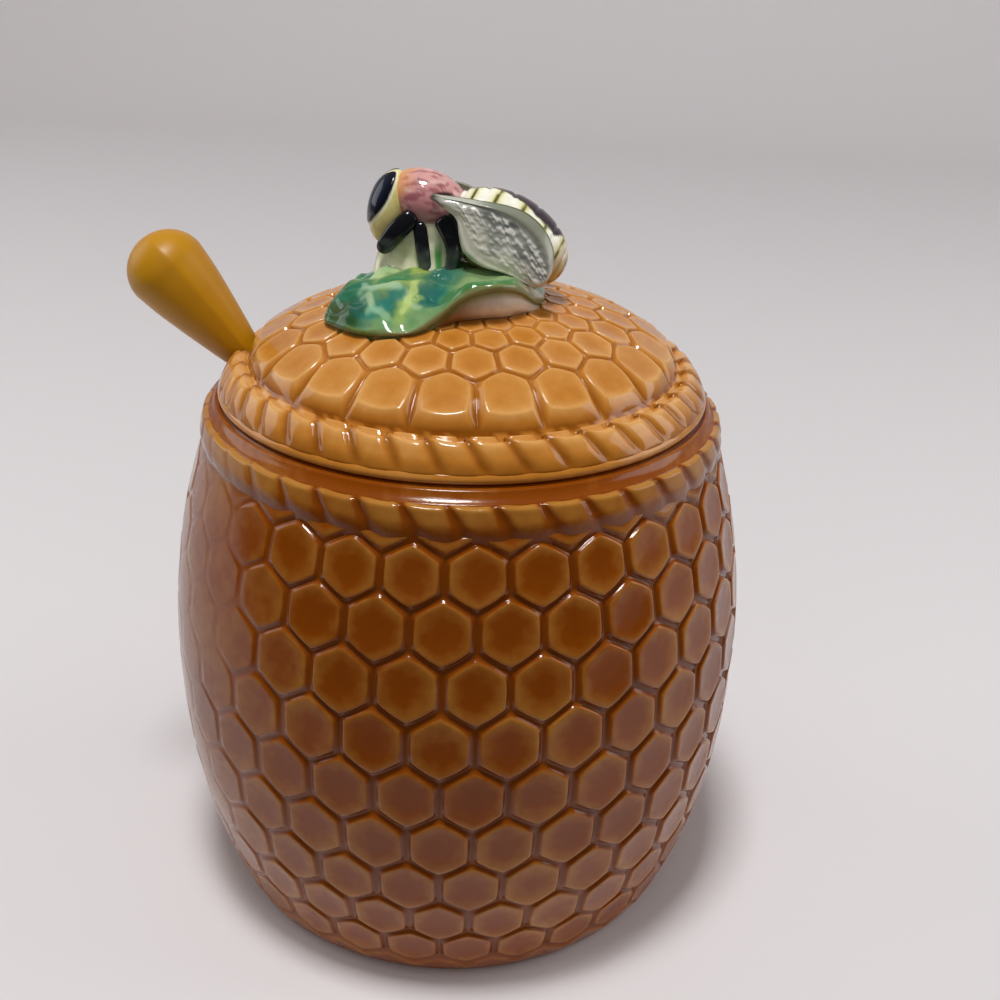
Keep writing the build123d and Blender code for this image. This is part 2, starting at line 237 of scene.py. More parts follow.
light_path = add_node(paper_tree, "ShaderNodeLightPath", {}).outputs
seen = light_path["Is Camera Ray"]
for kind in ("Is Glossy Ray", "Is Transmission Ray"):
    either = {0: seen, 1: light_path[kind]}
    seen = add_node(paper_tree, "ShaderNodeMath", either, operation="MAXIMUM").outputs[0]
away = add_node(paper_tree, "ShaderNodeVectorMath", {0: spot}, operation="LENGTH").outputs["Value"]
reach = {"Value": away, "From Min": glow_start, "From Max": glow_end, "To Max": glow_strength}
glow = add_node(paper_tree, "ShaderNodeMapRange", reach).outputs[0]
for share in (out_of_floor_shade, seen):
    glow = add_node(paper_tree, "ShaderNodeMath", {0: glow, 1: share}, operation="MULTIPLY").outputs[0]
paper_shader.inputs["Emission Color"].default_value = linear("EAE2E3")
paper_tree.links.new(paper_colour, paper_shader.inputs["Base Color"])
paper_tree.links.new(glow, paper_shader.inputs["Emission Strength"])
sweep.data.materials.append(paper)


# %% Lamps and room
def add_lamp(name, place, aim, size, watts):
    """A white square area lamp at a place in millimetres, turned towards its aim."""
    data = bpy.data.lights.new(name, "AREA")
    data.size, data.energy = size * mm, watts
    lamp = bpy.data.objects.new(name, data)
    turn = (Vector(aim) - Vector(place)).to_track_quat("-Z", "Y").to_matrix().to_4x4()
    lamp.matrix_world = Matrix.Translation(Vector(place) * mm) @ turn
    bpy.context.collection.objects.link(lamp)
    return lamp


add_lamp("overhead softbox", (-30, -165, 900), (0, 20, 0), size=170, watts=4.6)
add_lamp("window light", (-40, -290, 720), (0, 0, 80), size=60, watts=0.2)
front_fill = add_lamp("front fill", (60, -850, 560), (0, 0, 80), size=1300, watts=2.5)
front_fill.visible_glossy = False  # a wide, soft light that leaves no mirror image in the glaze
add_lamp("right softbox", (800, 160, 380), (0, 0, 60), size=520, watts=1.6)
add_lamp("left softbox", (-800, 160, 380), (0, 0, 60), size=520, watts=1.2)

# The room is dim in front, and paler above and behind.
room = bpy.data.worlds.new("room")
room.use_nodes = True
room_tree = room.node_tree
direction = add_node(room_tree, "ShaderNodeTexCoord", {}).outputs["Generated"]
front_back = add_node(room_tree, "ShaderNodeSeparateXYZ", {"Vector": direction}).outputs["Y"]
levels = {"Value": front_back, "From Min": -0.6, "From Max": 0.5, "To Min": 0.05, "To Max": 0.3}
room_light = add_node(room_tree, "ShaderNodeMapRange", levels).outputs[0]
backdrop = room_tree.nodes["Background"]
backdrop.inputs["Color"].default_value = linear("E4DCDA")
room_tree.links.new(room_light, backdrop.inputs["Strength"])
bpy.context.scene.world = room

# %% [markdown]
# ## Honeycomb on a turned surface
#
# The pot and the lid are turned shapes with hexagons pressed into them. A displaced grid would need
# millions of faces for crisp cells, because its edges never line up with theirs. Instead every cell
# is built from rings that follow its own outline: the outer ring lies in the groove, and the next
# ones climb the wall, round the rim and dip into the glazed hollow. Neighbours share their outer
# ring, so the whole comb welds into one skin.
#
# A hexagon stays regular on a curved surface if lengths along the profile are divided by the radius
# there, just as a map projection does. That height, in radians, is called v below.


# %% A turned surface, addressed by azimuth and v
class TurnedSurface:
    """A profile turned round Z. v grows along it by length / (radius x stretch)."""

    def __init__(self, radii, heights, stretch):
        step_r, step_z = np.diff(radii), np.diff(heights)
        length = np.hypot(step_r, step_z)
        middle = (radii[1:] + radii[:-1]) / 2
        stretch = np.broadcast_to(stretch, radii.shape)[1:]
        self.v = np.concatenate([[0.0], np.cumsum(length / (middle * stretch))])
        self.radii, self.heights = radii, heights
        slope_r, slope_z = np.gradient(radii), np.gradient(heights)
        size = np.hypot(slope_r, slope_z)
        self.normal_r, self.normal_z = slope_z / size, -slope_r / size

    def v_at_height(self, height):
        return np.interp(height, self.heights, self.v)

    def height(self, v):
        return np.interp(v, self.v, self.heights)

    def radius(self, v):
        return np.interp(v, self.v, self.radii)

    def normal(self, v):
        """Radial and upward share of the outward direction."""
        return np.interp(v, self.v, self.normal_r), np.interp(v, self.v, self.normal_z)

    def points(self, azimuth, v, depth):
        """Radius and height at v, moved inwards along the profile's normal by depth, then turned."""
        normal_r, normal_z = self.normal(v)
        return turned(azimuth, self.radius(v) - depth * normal_r, self.height(v) - depth * normal_z)


def turned(azimuth, radius, height):
    """Points at an azimuth from -Y towards +X, a radius and a height."""
    parts = (radius * np.sin(azimuth), -radius * np.cos(azimuth), height)
    return np.stack(np.broadcast_arrays(*parts), -1)


# %% One cell, ring by ring
# Each ring: its share of the outline, its depth in mm, how far it is eased from the polygon
# towards a smooth oval, and how thick the glaze lies on it (0 thin and pale, 1 pooled and dark).
cell_rings = np.array(
    [
        (1.00, 0.66, 0.00, 0.86),
        (0.95, 0.60, 0.08, 0.82),
        (0.91, 0.42, 0.20, 0.66),
        (0.875, 0.17, 0.28, 0.42),
        (0.84, 0.04, 0.34, 0.24),
        (0.79, 0.02, 0.38, 0.25),
        (0.69, 0.10, 0.44, 0.34),
        (0.50, 0.22, 0.50, 0.44),
        (0.25, 0.29, 0.60, 0.52),
        (0.00, 0.30, 0.60, 0.55),
    ]
)
side_steps = 5  # points along one side of a cell
cell_steps = 2 * side_steps  # points across one cell, along the zigzag of two of its sides
wall_share = 0.14  # the wall's width as a share of the cell; a cell's own unevenness sets in over it
oval_size = 0.94  # size of the oval inside a cell, as a share of its outline
plain_glaze = 0.4  # thickness of the glaze where the relief has faded away


def polygon(corners, steps):
    """Points along a closed polygon: side k runs from corner k to the next in steps[k] equal parts."""
    corners = np.asarray(corners, float)
    following = np.roll(corners, -1, axis=0)
    sides = [a + (b - a) * (np.arange(n) / n)[:, None] for a, b, n in zip(corners, following, steps)]
    return np.concatenate(sides)


def hexagon_outline(side):
    """A hexagon that stands on a corner, as azimuth and v."""
    corners = [(sin(k * pi / 3) * side, cos(k * pi / 3) * side) for k in range(6)]
    return polygon(corners, [side_steps] * 6)


def cell_patch(surface, centres, outline, rings, fade, seed=1, lower_wall=0.0):
    """Rings of every cell as (cell, ring, point) arrays of azimuth, v and depth, then turned.

    lower_wall makes the wall at a cell's low end wider, as a share of half its height. Each cell is
    a little off in place, size, depth and lean, as in a mould cut by hand; fade gives its crispness.
    """
    rng = np.random.default_rng(seed)
    share, depth, to_oval, glaze = rings.T
    middle = (outline.max(0) + outline.min(0)) / 2
    half = (outline.max(0) - outline.min(0)) / 2
    spoke = (outline - middle) / half
    oval = middle + half * oval_size * spoke / np.linalg.norm(spoke, axis=1)[:, None]
    eased = (1 - to_oval)[:, None, None] * outline + to_oval[:, None, None] * oval
    shapes = middle + share[:, None, None] * (eased - middle)
    inner = np.clip((1 - share) / wall_share, 0, 1)
    shapes[..., 1] += lower_wall * inner[:, None] * (half[1] - (shapes[..., 1] - middle[1]))
    nudge = rng.normal(0, 0.012, (len(centres), 1, 1, 2)) * half.mean() * inner[None, :, None, None]
    size = 1 + rng.normal(0, 0.012, (len(centres), 1, 1, 1)) * inner[None, :, None, None]
    spots = centres[:, None, None, :] + nudge + (shapes - middle)[None] * size + middle
    press = 1 + rng.normal(0, 0.06, (len(centres), 1, 1)) * inner[None, :, None]
    lean = rng.normal(0, 0.05, (len(centres), 1, 1, 2))
    sway = ((shapes - middle) / half)[None] * lean * inner[None, :, None, None]
    deep = depth[None, :, None] * press + sway.sum(-1)
    crisp = fade(spots[..., 0], spots[..., 1])
    thick = plain_glaze + (glaze[None, :, None] - plain_glaze) * crisp
    return surface.points(spots[..., 0], spots[..., 1], np.maximum(deep, 0) * crisp), thick


print(len(cell_rings), "rings in a cell")

# %% [markdown]
# ## The pot
#
# The barrel's outline is the solid model's: a belly with one power curve down to the foot and
# another up to the neck. Thirty cells go round, in nine rows that are a little taller at the belly.
# The last rows meet the rope above and the foot below in part cells, which are plain grids whose
# depth comes from the distance to the nearest groove.

# %% The barrel
belly_radius = pot_high.x / mm
lip_height = pot_high.z / mm
belly_height = 48.0
foot_radius = 40.9
neck_radius = 44.0
neck_height = 84.0
lower_fullness = 2.36
upper_fullness = 2.0
pot_wall = 4.6


def barrel_radius(height):
    """The belly less (distance from the belly / its span) ^ fullness, with its own span each way."""
    below = np.clip((belly_height - height) / belly_height, 0, None)
    above = np.clip((height - belly_height) / (neck_height - belly_height), 0, None)
    lower = (belly_radius - foot_radius) * below**lower_fullness
    upper = (belly_radius - neck_radius) * above**upper_fullness
    return belly_radius - lower - upper


heights = np.linspace(0.0, 88.0, 1600)
row_stretch = 1.06 - 0.12 * ((heights - belly_height) / 40) ** 2
barrel = TurnedSurface(barrel_radius(heights), heights, row_stretch)

# %% Hexagon rows
cells_round = 30
cell_rows = 9
top_row_height = 79.3
first_cell_azimuth = radians(11.2)

cell_width = tau / cells_round
hexagon_side = cell_width / 3**0.5
row_pitch = 1.5 * hexagon_side


def row_centres(first_v, count, rows, pitch, first_azimuth):
    """Azimuth and v of each cell: every second row is turned by half a cell."""
    row, column = np.meshgrid(np.arange(rows), np.arange(count), indexing="ij")
    azimuth = first_azimuth + (column + 0.5 * (row % 2)) * (tau / count)
    return np.stack([azimuth, first_v - row * pitch], -1).reshape(-1, 2)


def soft_patch(azimuth, width):
    """A bell curve round the pot, 1 at 53 degrees to the left of the front."""
    return bell(wrapped(azimuth) + radians(53), radians(width))


def pot_relief(azimuth, v):
    """1 where the relief is crisp, down to 0.08 on the patch sponged soft beside the mould's seam."""
    height = barrel.height(v)
    ragged = 0.14 * np.sin(9.0 * azimuth + 0.11 * height) + 0.12 * np.sin(0.17 * height - 4.0 * azimuth)
    high = 0.6 + 0.4 * np.clip((height - 18) / 40, 0, 1)
    return 1 - 0.92 * np.clip(soft_patch(azimuth, 25) * (1.2 * high + ragged), 0, 1)


top_row_v = barrel.v_at_height(top_row_height)
centres = row_centres(top_row_v, cells_round, cell_rows, row_pitch, first_cell_azimuth)
cell_points, cell_glaze = cell_patch(barrel, centres, hexagon_outline(hexagon_side), cell_rings, pot_relief)
print(len(centres), "cells, rows at", np.round(barrel.height(centres[:: cells_round, 1]), 1))


# %% Part cells between the comb and a straight line
def edge_azimuths(count, first_azimuth):
    """The azimuth of every point along the edge of a row of so many cells."""
    return first_azimuth + np.arange(count * cell_steps) / cell_steps * (tau / count)


def part_cells(surface, count, first_azimuth, tip_v, line_v, rings, fade, rows=6):
    """A zigzag of cell walls at tip_v, filled up to line_v; depth depends on distance to the zigzag."""
    width = tau / count
    azimuth = edge_azimuths(count, first_azimuth)
    across = np.arange(count * cell_steps) / cell_steps
    off_tip = np.abs((across + 0.5) % 1 - 0.5) * 2
    zigzag = tip_v - np.sign(line_v - tip_v) * off_tip * (width / 3**0.5) / 2
    v = zigzag + (line_v - zigzag) * np.linspace(0, 1, rows)[:, None]
    distance = np.abs(v - zigzag) * cos(pi / 6) / (width / 2)
    share, depth, _, glaze = rings.T
    deep = np.interp(1 - distance, share[::-1], depth[::-1])
    thick = np.interp(1 - distance, share[::-1], glaze[::-1])
    crisp = fade(azimuth, v)
    return surface.points(azimuth, v, deep * crisp), plain_glaze + (thick - plain_glaze) * crisp


comb_top_v = top_row_v + hexagon_side * 1.12
comb_foot_v = barrel.v_at_height(1.6)
last_row_v = top_row_v - (cell_rows - 1) * row_pitch
top_part, foot_part = (
    part_cells(barrel, cells_round, first_cell_azimuth, tip_v, line_v, cell_rings, pot_relief)
    for tip_v, line_v in (
        (top_row_v + hexagon_side, comb_top_v),
        (last_row_v - hexagon_side, comb_foot_v),
    )
)


# %% The plain rest of the pot: shoulder, lip, inside, floor and foot
def arc(centre, radius, start, end, count=7):
    """Points (radius, height) on a circle arc, angles in degrees from outwards towards up."""
    turn = np.radians(np.linspace(start, end, count))
    return np.stack([centre[0] + radius * np.cos(turn), centre[1] + radius * np.sin(turn)], -1)


def line(start, end, count=2):
    """Evenly spaced points (radius, height) from start to end."""
    return np.linspace(np.array(start, float), np.array(end, float), count)


mouth_radius = 37.6
lip_round = 1.2
behind_rope = 1.4  # how far the skin steps in behind the rope
ledge_radius = 42.1
ledge_height = lip_height - 2.0
shoulder_top = 40.2
shoulder_round = 0.7
floor_height = 6.0
floor_round = 9.0
foot_recess = 1.8
foot_ring_inner = foot_radius - 7.0
foot_round = 1.4
foot_inner_round = 0.6

inner_heights = np.linspace(neck_height, floor_height + floor_round, 16)
inner_wall = np.stack([barrel_radius(inner_heights) - pot_wall, inner_heights], -1)
floor_centre = (inner_wall[-1][0] - floor_round, floor_height + floor_round)
rope_shelf = (barrel.radius(comb_top_v) - behind_rope, barrel.height(comb_top_v))
ledge = [(42.45, 88.9), (42.4, 89.5), (ledge_radius - 0.05, ledge_height), (41.55, 91.0), (41.1, 91.5)]
inner_foot = foot_ring_inner + foot_inner_round
upper_path = np.concatenate(
    [
        line(rope_shelf, (42.1, 88.2), 4),
        np.array(ledge),
        line((shoulder_top + 0.6, lip_height - 0.5), (shoulder_top + 0.45, lip_height - 0.35), 2),
        arc((shoulder_top - 0.2, lip_height - shoulder_round), shoulder_round, 44, 90, 5),
        arc((mouth_radius + lip_round, lip_height - lip_round), lip_round, 90, 180, 9),
        inner_wall,
        arc(floor_centre, floor_round, 0, -90, 12)[1:],
        line((floor_centre[0], floor_height), (0, floor_height), 8)[1:],
    ]
)
foot_path = np.concatenate(
    [
        arc((foot_radius - foot_round - 0.3, foot_round), foot_round, -4, -90, 7),
        line((foot_radius - foot_round - 2, 0), (inner_foot, 0), 4),
        arc((inner_foot, foot_inner_round), foot_inner_round, -90, -180, 5)[1:],
        line((foot_ring_inner, foot_recess - 0.3), (foot_ring_inner - 0.6, foot_recess), 3),
        line((foot_ring_inner - 3, foot_recess), (0, foot_recess), 8),
    ]
)


def turned_grid(azimuth, path):
    """Every point of a path of (radius, height) carried round the azimuths."""
    return turned(azimuth[None, :], path[:, :1], path[:, 1:])


# %% Weld the pot together
edge_azimuth = edge_azimuths(cells_round, first_cell_azimuth)
pot_skin = Skin("glaze")
for grid in (*zip(cell_points, cell_glaze), top_part, foot_part):
    pot_skin.add_grid(*grid)
pot_skin.add_grid(np.concatenate([top_part[0][-1:], turned_grid(edge_azimuth, upper_path)]), 0.42)
pot_skin.add_grid(np.concatenate([foot_part[0][-1:], turned_grid(edge_azimuth, foot_path)]), 0.5)
pot = pot_skin.build("pot_honeycomb")
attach(pot, "pot")
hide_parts("pot")

# %% [markdown]
# ## Rope borders
#
# A rope border is a ring of slanted strands in low relief, pressed by the same mould as the comb. One
# function makes both borders: a line of the body is carried round, and the height above it depends
# on how far up the rope a point lies and on its place between two grooves. The glaze softens the
# strands, so each one ends in a thin bright line above and runs out into the plain clay below. The
# ring is closed, and sinks into the body behind it.

# %% One ring of rope
rope_depth = 2.6  # how far the back of the ring lies inside the body
strand_peak = 0.62  # where along a strand's top edge its lowest point lies


def rope_ring(name, base_point, normal, strands, groove_azimuth, slant, relief, steps=20, rows=36):
    """Face: base line + normal x relief(t, across), t up the rope, across 0 to 1 between two grooves."""
    azimuth = np.arange(strands * steps) / (strands * steps) * tau
    t = np.linspace(0, 1, rows)[:, None]
    across = ((azimuth - groove_azimuth - slant * (1 - t)) / (tau / strands)) % 1
    lift, glaze = relief(t, across, azimuth)
    (face_r, face_z), (out_r, out_z) = base_point(t), normal(t)
    face = turned(azimuth[None, :], face_r + out_r * lift, face_z + out_z * lift)
    back_t = np.array([[1.0], [0.5], [0.0]])
    (back_r, back_z), (out_r, out_z) = base_point(back_t), normal(back_t)
    back = turned(azimuth[None, :], back_r - out_r * rope_depth, back_z - out_z * rope_depth)
    ring = Skin("glaze")
    loop_glaze = np.concatenate([glaze, np.ones_like(back[..., 0]), glaze[:1]])
    ring.add_grid(np.concatenate([face, back, face[:1]]), loop_glaze)
    return ring.build(name)


def groove_between(across, width):
    """1 in the groove on either side of a strand, falling as a bell curve to 0 on the strand."""
    return bell(0.5 - np.abs(across - 0.5), width)


def strand_end(across, high, dip):
    """Where a strand's top edge lies: it sags from its left end to about two thirds of its width."""
    return high - dip * (1 - ((across - strand_peak) / strand_peak) ** 2)


def rounded_over(over):
    """How far the strand's end has dropped, 0 at its start to 1: a quarter circle."""
    return 1 - np.sqrt(1 - over**2)


# %% The rope under the pot's shoulder
band_low = np.array([44.5, 82.6])
band_high = np.array([42.7, 89.6])
band_run = (band_high - band_low) / np.linalg.norm(band_high - band_low)


def pot_rope_base(t):
    """The straight line up the band: radius and height."""
    return [low + (high - low) * t for low, high in zip(band_low, band_high)]


def pot_rope_relief(t, across, azimuth):
    """The strands rise out of the barrel over half the rope's height and end at a wavy ledge."""
    groove = groove_between(across, 0.11 + 0.12 * ease(0.9, 0.2, t)) * (1 - 0.8 * soft_patch(azimuth, 24))
    rise = ease(0.05 + 0.1 * groove, 0.62, t) ** 0.8
    over = np.clip((t - strand_end(across, 0.93, 0.05)) / 0.09, 0, 1)
    lift = -0.75 + 1.3 * rise - 0.5 * groove * ease(0.15, 0.7, t) - 1.4 * rounded_over(over)
    glaze = 0.16 + 0.55 * groove * ease(0.1, 0.75, t) + 0.35 * ease(0.75, 0.2, t)
    glaze = glaze - 0.2 * ease(0.8, 0.94, t) * (1 - groove)
    return lift, np.clip(glaze, 0, 1)


pot_rope = rope_ring(
    "pot_rope",
    base_point=pot_rope_base,
    normal=lambda t: (band_run[1], -band_run[0]),
    strands=40,
    groove_azimuth=radians(14.25),
    slant=radians(5.2),
    relief=pot_rope_relief,
)
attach(pot_rope, "pot")

# %% [markdown]
# ## The lid
#
# The dome is a flattened bell: a superellipse with its own power for the side and for the top. Its
# cells shrink towards the knob by themselves, because v counts lengths against the radius. The
# outermost row is different: its cells are fat pillows with round lower ends, above the rope that
# edges the lid.

# %% The dome
lid_radius = 40.8
flange_bottom = lid_low.z / mm
seat_height = flange_bottom + 5.0
dome_rise = 17.0
dome_side_power = 2.43
dome_top_power = 1.56
lid_wall = 4.2
flange_radius = 37.1
flange_inner = 33.7


def dome_profile(share, inset=0.0):
    """Radius (1 - share^p)^(1/q) x lid radius at share x rise above the seat, or a copy inset from it."""
    radius = (lid_radius - inset) * (1 - share**dome_top_power) ** (1 / dome_side_power)
    return radius, seat_height + (dome_rise - inset) * share


def dome_share(radius, inset=0.0):
    """The share of the rise at which the dome has a radius: the profile turned round."""
    return (1 - (radius / (lid_radius - inset)) ** dome_side_power) ** (1 / dome_top_power)


dome_radii = np.concatenate([np.linspace(40.78, 30, 500), np.linspace(30, 0.5, 900)[1:]])
dome = TurnedSurface(dome_radii, seat_height + dome_rise * dome_share(dome_radii), 1.04)
print("dome from radius", dome.radii[0], "to", dome.radii[-1])


def dome_v(radius):
    """The v at which the dome has a radius."""
    return np.interp(-np.asarray(radius), -dome.radii, dome.v)


# %% Pillows and cells
lid_cells_round = 22
lid_cell_rows = 6
pillow_radius = 31.5
valley_radius = 36.6
pillow_azimuth = radians(3.15)

lid_cell_width = tau / lid_cells_round
lid_side = lid_cell_width / 3**0.5
lid_pitch = 1.5 * lid_side
pillow_v, valley_v = dome_v([pillow_radius, valley_radius])
half_width, drop = lid_cell_width / 2, pillow_v - valley_v
pillow = [
    (0, lid_side),
    (half_width, lid_side / 2),
    (half_width, -drop),
    (-half_width, -drop),
    (-half_width, lid_side / 2),
]
pillow_outline = polygon(pillow, [side_steps, side_steps, cell_steps, side_steps, side_steps])

# Share, depth, easing to the oval and glaze, as for the pot; the pillows have tall soft walls.
pillow_rings = np.array(
    [
        (1.00, 1.45, 0.00, 1.00),
        (0.975, 1.20, 0.14, 0.92),
        (0.945, 0.84, 0.28, 0.62),
        (0.905, 0.46, 0.40, 0.36),
        (0.87, 0.15, 0.48, 0.16),
        (0.845, 0.02, 0.50, 0.00),
        (0.80, 0.02, 0.50, 0.02),
        (0.72, 0.11, 0.48, 0.22),
        (0.55, 0.20, 0.44, 0.38),
        (0.30, 0.25, 0.40, 0.45),
        (0.00, 0.26, 0.40, 0.48),
    ]
)
valley_depth = pillow_rings[0, 1]
lid_rings = cell_rings.copy()
lid_rings[:, 2] *= 0.55
lid_rings[:, 3] = (0.78, 0.74, 0.56, 0.32, 0.14, 0.16, 0.32, 0.44, 0.52, 0.54)


def pillow_relief(azimuth, v):
    """The pillows are deep at their lower ends, and as shallow as the small cells where they meet them."""
    down = np.clip((pillow_v + lid_side / 2 - v) / (lid_side / 2 + drop), 0, 1)
    shallow = lid_rings[0, 1] / valley_depth
    return shallow + (1 - shallow) * down


def crown_relief(azimuth, v):
    """The small cells grow faint towards the knob, where the glaze pooled."""
    return 0.5 + 0.5 * ease(14, 25.5, dome.radius(v))


lid_centres = row_centres(pillow_v, lid_cells_round, lid_cell_rows, -lid_pitch, pillow_azimuth)
pillow_centres, small_centres = lid_centres[:lid_cells_round], lid_centres[lid_cells_round:]
pillows = cell_patch(dome, pillow_centres, pillow_outline, pillow_rings, pillow_relief, 4, lower_wall=0.13)
small_cells = cell_patch(dome, small_centres, hexagon_outline(lid_side), lid_rings, crown_relief, 5)

crown_azimuth = pillow_azimuth + (lid_cell_rows - 1) % 2 * lid_cell_width / 2
crown_tip_v = pillow_v + (lid_cell_rows - 1) * lid_pitch + lid_side
crown_end_v = crown_tip_v + lid_side
crown = part_cells(dome, lid_cells_round, crown_azimuth, crown_tip_v, crown_end_v, lid_rings, crown_relief)
print(len(lid_centres), "cells, rows at radius", np.round(dome.radius(lid_centres[::lid_cells_round, 1]), 1))

# %% Under the rope, the rim, the flange and the hollow
rim_round = 0.8
flange_root_round = 0.6
flange_round = 0.85

recess_radii = np.linspace(valley_radius, 40.2, 7)
recess_depth = np.array([valley_depth, valley_depth, valley_depth, 1.4, 1.25, 0.9, 0.35])
recess = dome.points(np.array(pi / 2), dome_v(recess_radii), recess_depth)[:, [0, 2]]
inner_share = np.linspace(dome_share(flange_inner, lid_wall), 1, 14)
hollow = np.stack(dome_profile(inner_share, lid_wall), -1)
root = flange_radius + flange_root_round
lid_path = np.concatenate(
    [
        recess,
        np.array([[40.5, seat_height + 1.55], [40.72, seat_height + 1.1]]),
        arc((40.0, seat_height + rim_round), rim_round, 10, -90, 7),
        line((39.4, seat_height), (root, seat_height), 4),
        arc((root, seat_height - flange_root_round), flange_root_round, 90, 180, 4)[1:],
        arc((flange_radius - flange_round, flange_bottom + flange_round), flange_round, 0, -90, 6),
        arc((flange_inner + flange_round, flange_bottom + flange_round), flange_round, -90, -180, 6),
        hollow,
    ]
)
print(len(lid_path), "rings from the pillows round the rim to the middle of the hollow")

# %% The notch
# The dipper's notch is an arch cut straight through wall and flange, with its edge sponged round.
notch_half_width = 5.0
notch_centre = seat_height + 2.3
cutter_foot = 80.0
cutter_ends = (-60.0, -20.0)
edge_reach = 0.9  # how far from the notch the skin is rounded
edge_sink = 0.55  # how far the skin sinks at the notch itself
edge_depth = 2.2  # how far below the skin the points still belong to its edge


def cut_notch(piece):
    """Cuts an arched tunnel along X through a piece, and rounds the skin's edge above it."""
    turn = np.linspace(0, pi, 33)
    arch_y = np.concatenate([[notch_half_width], notch_half_width * np.cos(turn), [-notch_half_width]])
    arch_z = np.concatenate([[cutter_foot], notch_centre + notch_half_width * np.sin(turn), [cutter_foot]])
    count = len(arch_y)
    ends = [np.stack([np.full(count, x), arch_y, arch_z], -1) for x in cutter_ends]
    caps = [list(range(count)), list(range(2 * count - 1, count - 1, -1))]
    cutter = make_object("notch cutter", np.concatenate(ends), grid_faces(2, count, closed=True) + caps)
    cut = piece.modifiers.new("notch", "BOOLEAN")
    cut.operation, cut.solver, cut.object = "DIFFERENCE", "EXACT", cutter
    result = bpy.data.meshes.new_from_object(piece.evaluated_get(bpy.context.evaluated_depsgraph_get()))
    piece.modifiers.clear()
    piece.data = result
    bpy.data.objects.remove(cutter)

    point = np.empty(len(result.vertices) * 3)
    result.vertices.foreach_get("co", point)
    point = point.reshape(-1, 3) / mm
    x, y, z = point.T
    radius = np.hypot(x, y)
    off = np.hypot(y, np.maximum(z - notch_centre, 0)) - notch_half_width
    skin_height = np.interp(-radius, -dome.radii, dome.heights)
    near = (x < -30) & (radius > 34) & (off < edge_reach)
    near &= (z > seat_height - 0.1) & (z > skin_height - edge_depth)
    sink = edge_sink * (1 - np.clip(off[near], 0, edge_reach) / edge_reach) ** 2
    inward = np.stack([x[near] / radius[near], y[near] / radius[near], np.full(sink.shape, 0.8)], -1)
    point[near] -= inward * sink[:, None]
    result.vertices.foreach_set("co", (point * mm).ravel())

    work = bmesh.new()
    work.from_mesh(result)
    bmesh.ops.dissolve_degenerate(work, edges=work.edges, dist=0.002 * mm)
    open_count = open_edges(work)
    work.to_mesh(result)
    work.free()
    result.shade_smooth()
    print(f"{piece.name}: notch cut, {int(near.sum())} points on its rounded edge, {open_count} open edges")


# %% Weld the lid together
lid_edge_azimuth = edge_azimuths(lid_cells_round, pillow_azimuth - half_width)
cap_azimuth = edge_azimuths(lid_cells_round, crown_azimuth)
cap_radii = np.linspace(float(dome.radius(crown_end_v)), 0, 4)[1:, None]
cap = turned(cap_azimuth, cap_radii, seat_height + dome_rise - 0.3)
lid_skin = Skin("glaze")
for grid in (*zip(*pillows), *zip(*small_cells), crown):
    lid_skin.add_grid(*grid)
lid_skin.add_grid(np.concatenate([crown[0][-1:], cap]), 0.5)
lid_skin.add_grid(turned_grid(lid_edge_azimuth, lid_path), 0.45)
lid = lid_skin.build("lid_honeycomb")
cut_notch(lid)
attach(lid, "lid")
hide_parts("lid")

# %% The rope round the lid
rope_v_low, rope_v_high = dome_v([40.66, 36.7])


def lid_rope_v(t):
    """The dome's v at t up the rope."""
    return rope_v_low + (rope_v_high - rope_v_low) * t


def lid_rope_relief(t, across, azimuth):
    """The strands start in the valley under the pillows and fade into the lid's smooth rim."""
    groove = groove_between(across, 0.15)
    strong = ease(0.0, 0.4, t)
    over = np.clip((t - strand_end(across, 0.84, 0.17)) / 0.16, 0, 1)
    lift = 0.1 + 0.16 * strong * (1 - (2 * across - 1) ** 2) - 0.42 * groove * strong
    lift = lift - 1.55 * rounded_over(over) - 0.5 * ease(0.1, 0.0, t)
    glaze = 0.34 + 0.5 * groove * strong - 0.3 * ease(0.5, 0.75, t) * (1 - groove)
    glaze = glaze + 0.15 * ease(0.9, 1.0, over)
    glaze = glaze + 0.4 * ease(0.5, 0.1, t) + 0.6 * ease(0.16, 0.04, t)
    return lift, np.clip(glaze, 0, 1)


lid_rope = rope_ring(
    "lid_rope",
    base_point=lambda t: (dome.radius(lid_rope_v(t)), dome.height(lid_rope_v(t))),
    normal=lambda t: dome.normal(lid_rope_v(t)),
    strands=40,
    groove_azimuth=radians(17.05),
    slant=radians(5.6),
    relief=lid_rope_relief,
)
cut_notch(lid_rope)
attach(lid_rope, "lid")

# %% [markdown]
# ## The knob: a bee on a leaf
#
# On a real lid the leaf, the bee's body, its wings and its legs are pressed in small moulds, stuck
# together with slip and painted under a clear glaze. Each becomes its own closed surface here. Paint
# is a colour at every point, worked out from where the point lies, with edges left a little uneven
# as a brush leaves them; the meshes are fine enough, at about 0.3 mm, to hold those edges.

# %% Smooth lines, wobble and paint
dome_top = seat_height + dome_rise


def through(knots, values, at):
    """A smooth line through values at knots: cubic Hermite pieces, with slopes from the neighbours."""
    knots, values, at = np.asarray(knots, float), np.asarray(values, float), np.asarray(at, float)
    slopes = np.gradient(values, knots, axis=0)
    piece = np.clip(np.searchsorted(knots, at, side="right") - 1, 0, len(knots) - 2)
    span = (knots[1:] - knots[:-1])[piece]
    t = ((at - knots[piece]) / span).reshape(at.shape + (1,) * (values.ndim - 1))
    span = span.reshape(t.shape)
    start, end = values[piece], values[piece + 1]
    ahead = (2 * t**3 - 3 * t**2 + 1) * start + (t**3 - 2 * t**2 + t) * span * slopes[piece]
    return ahead + (3 * t**2 - 2 * t**3) * end + (t**3 - t**2) * span * slopes[piece + 1]


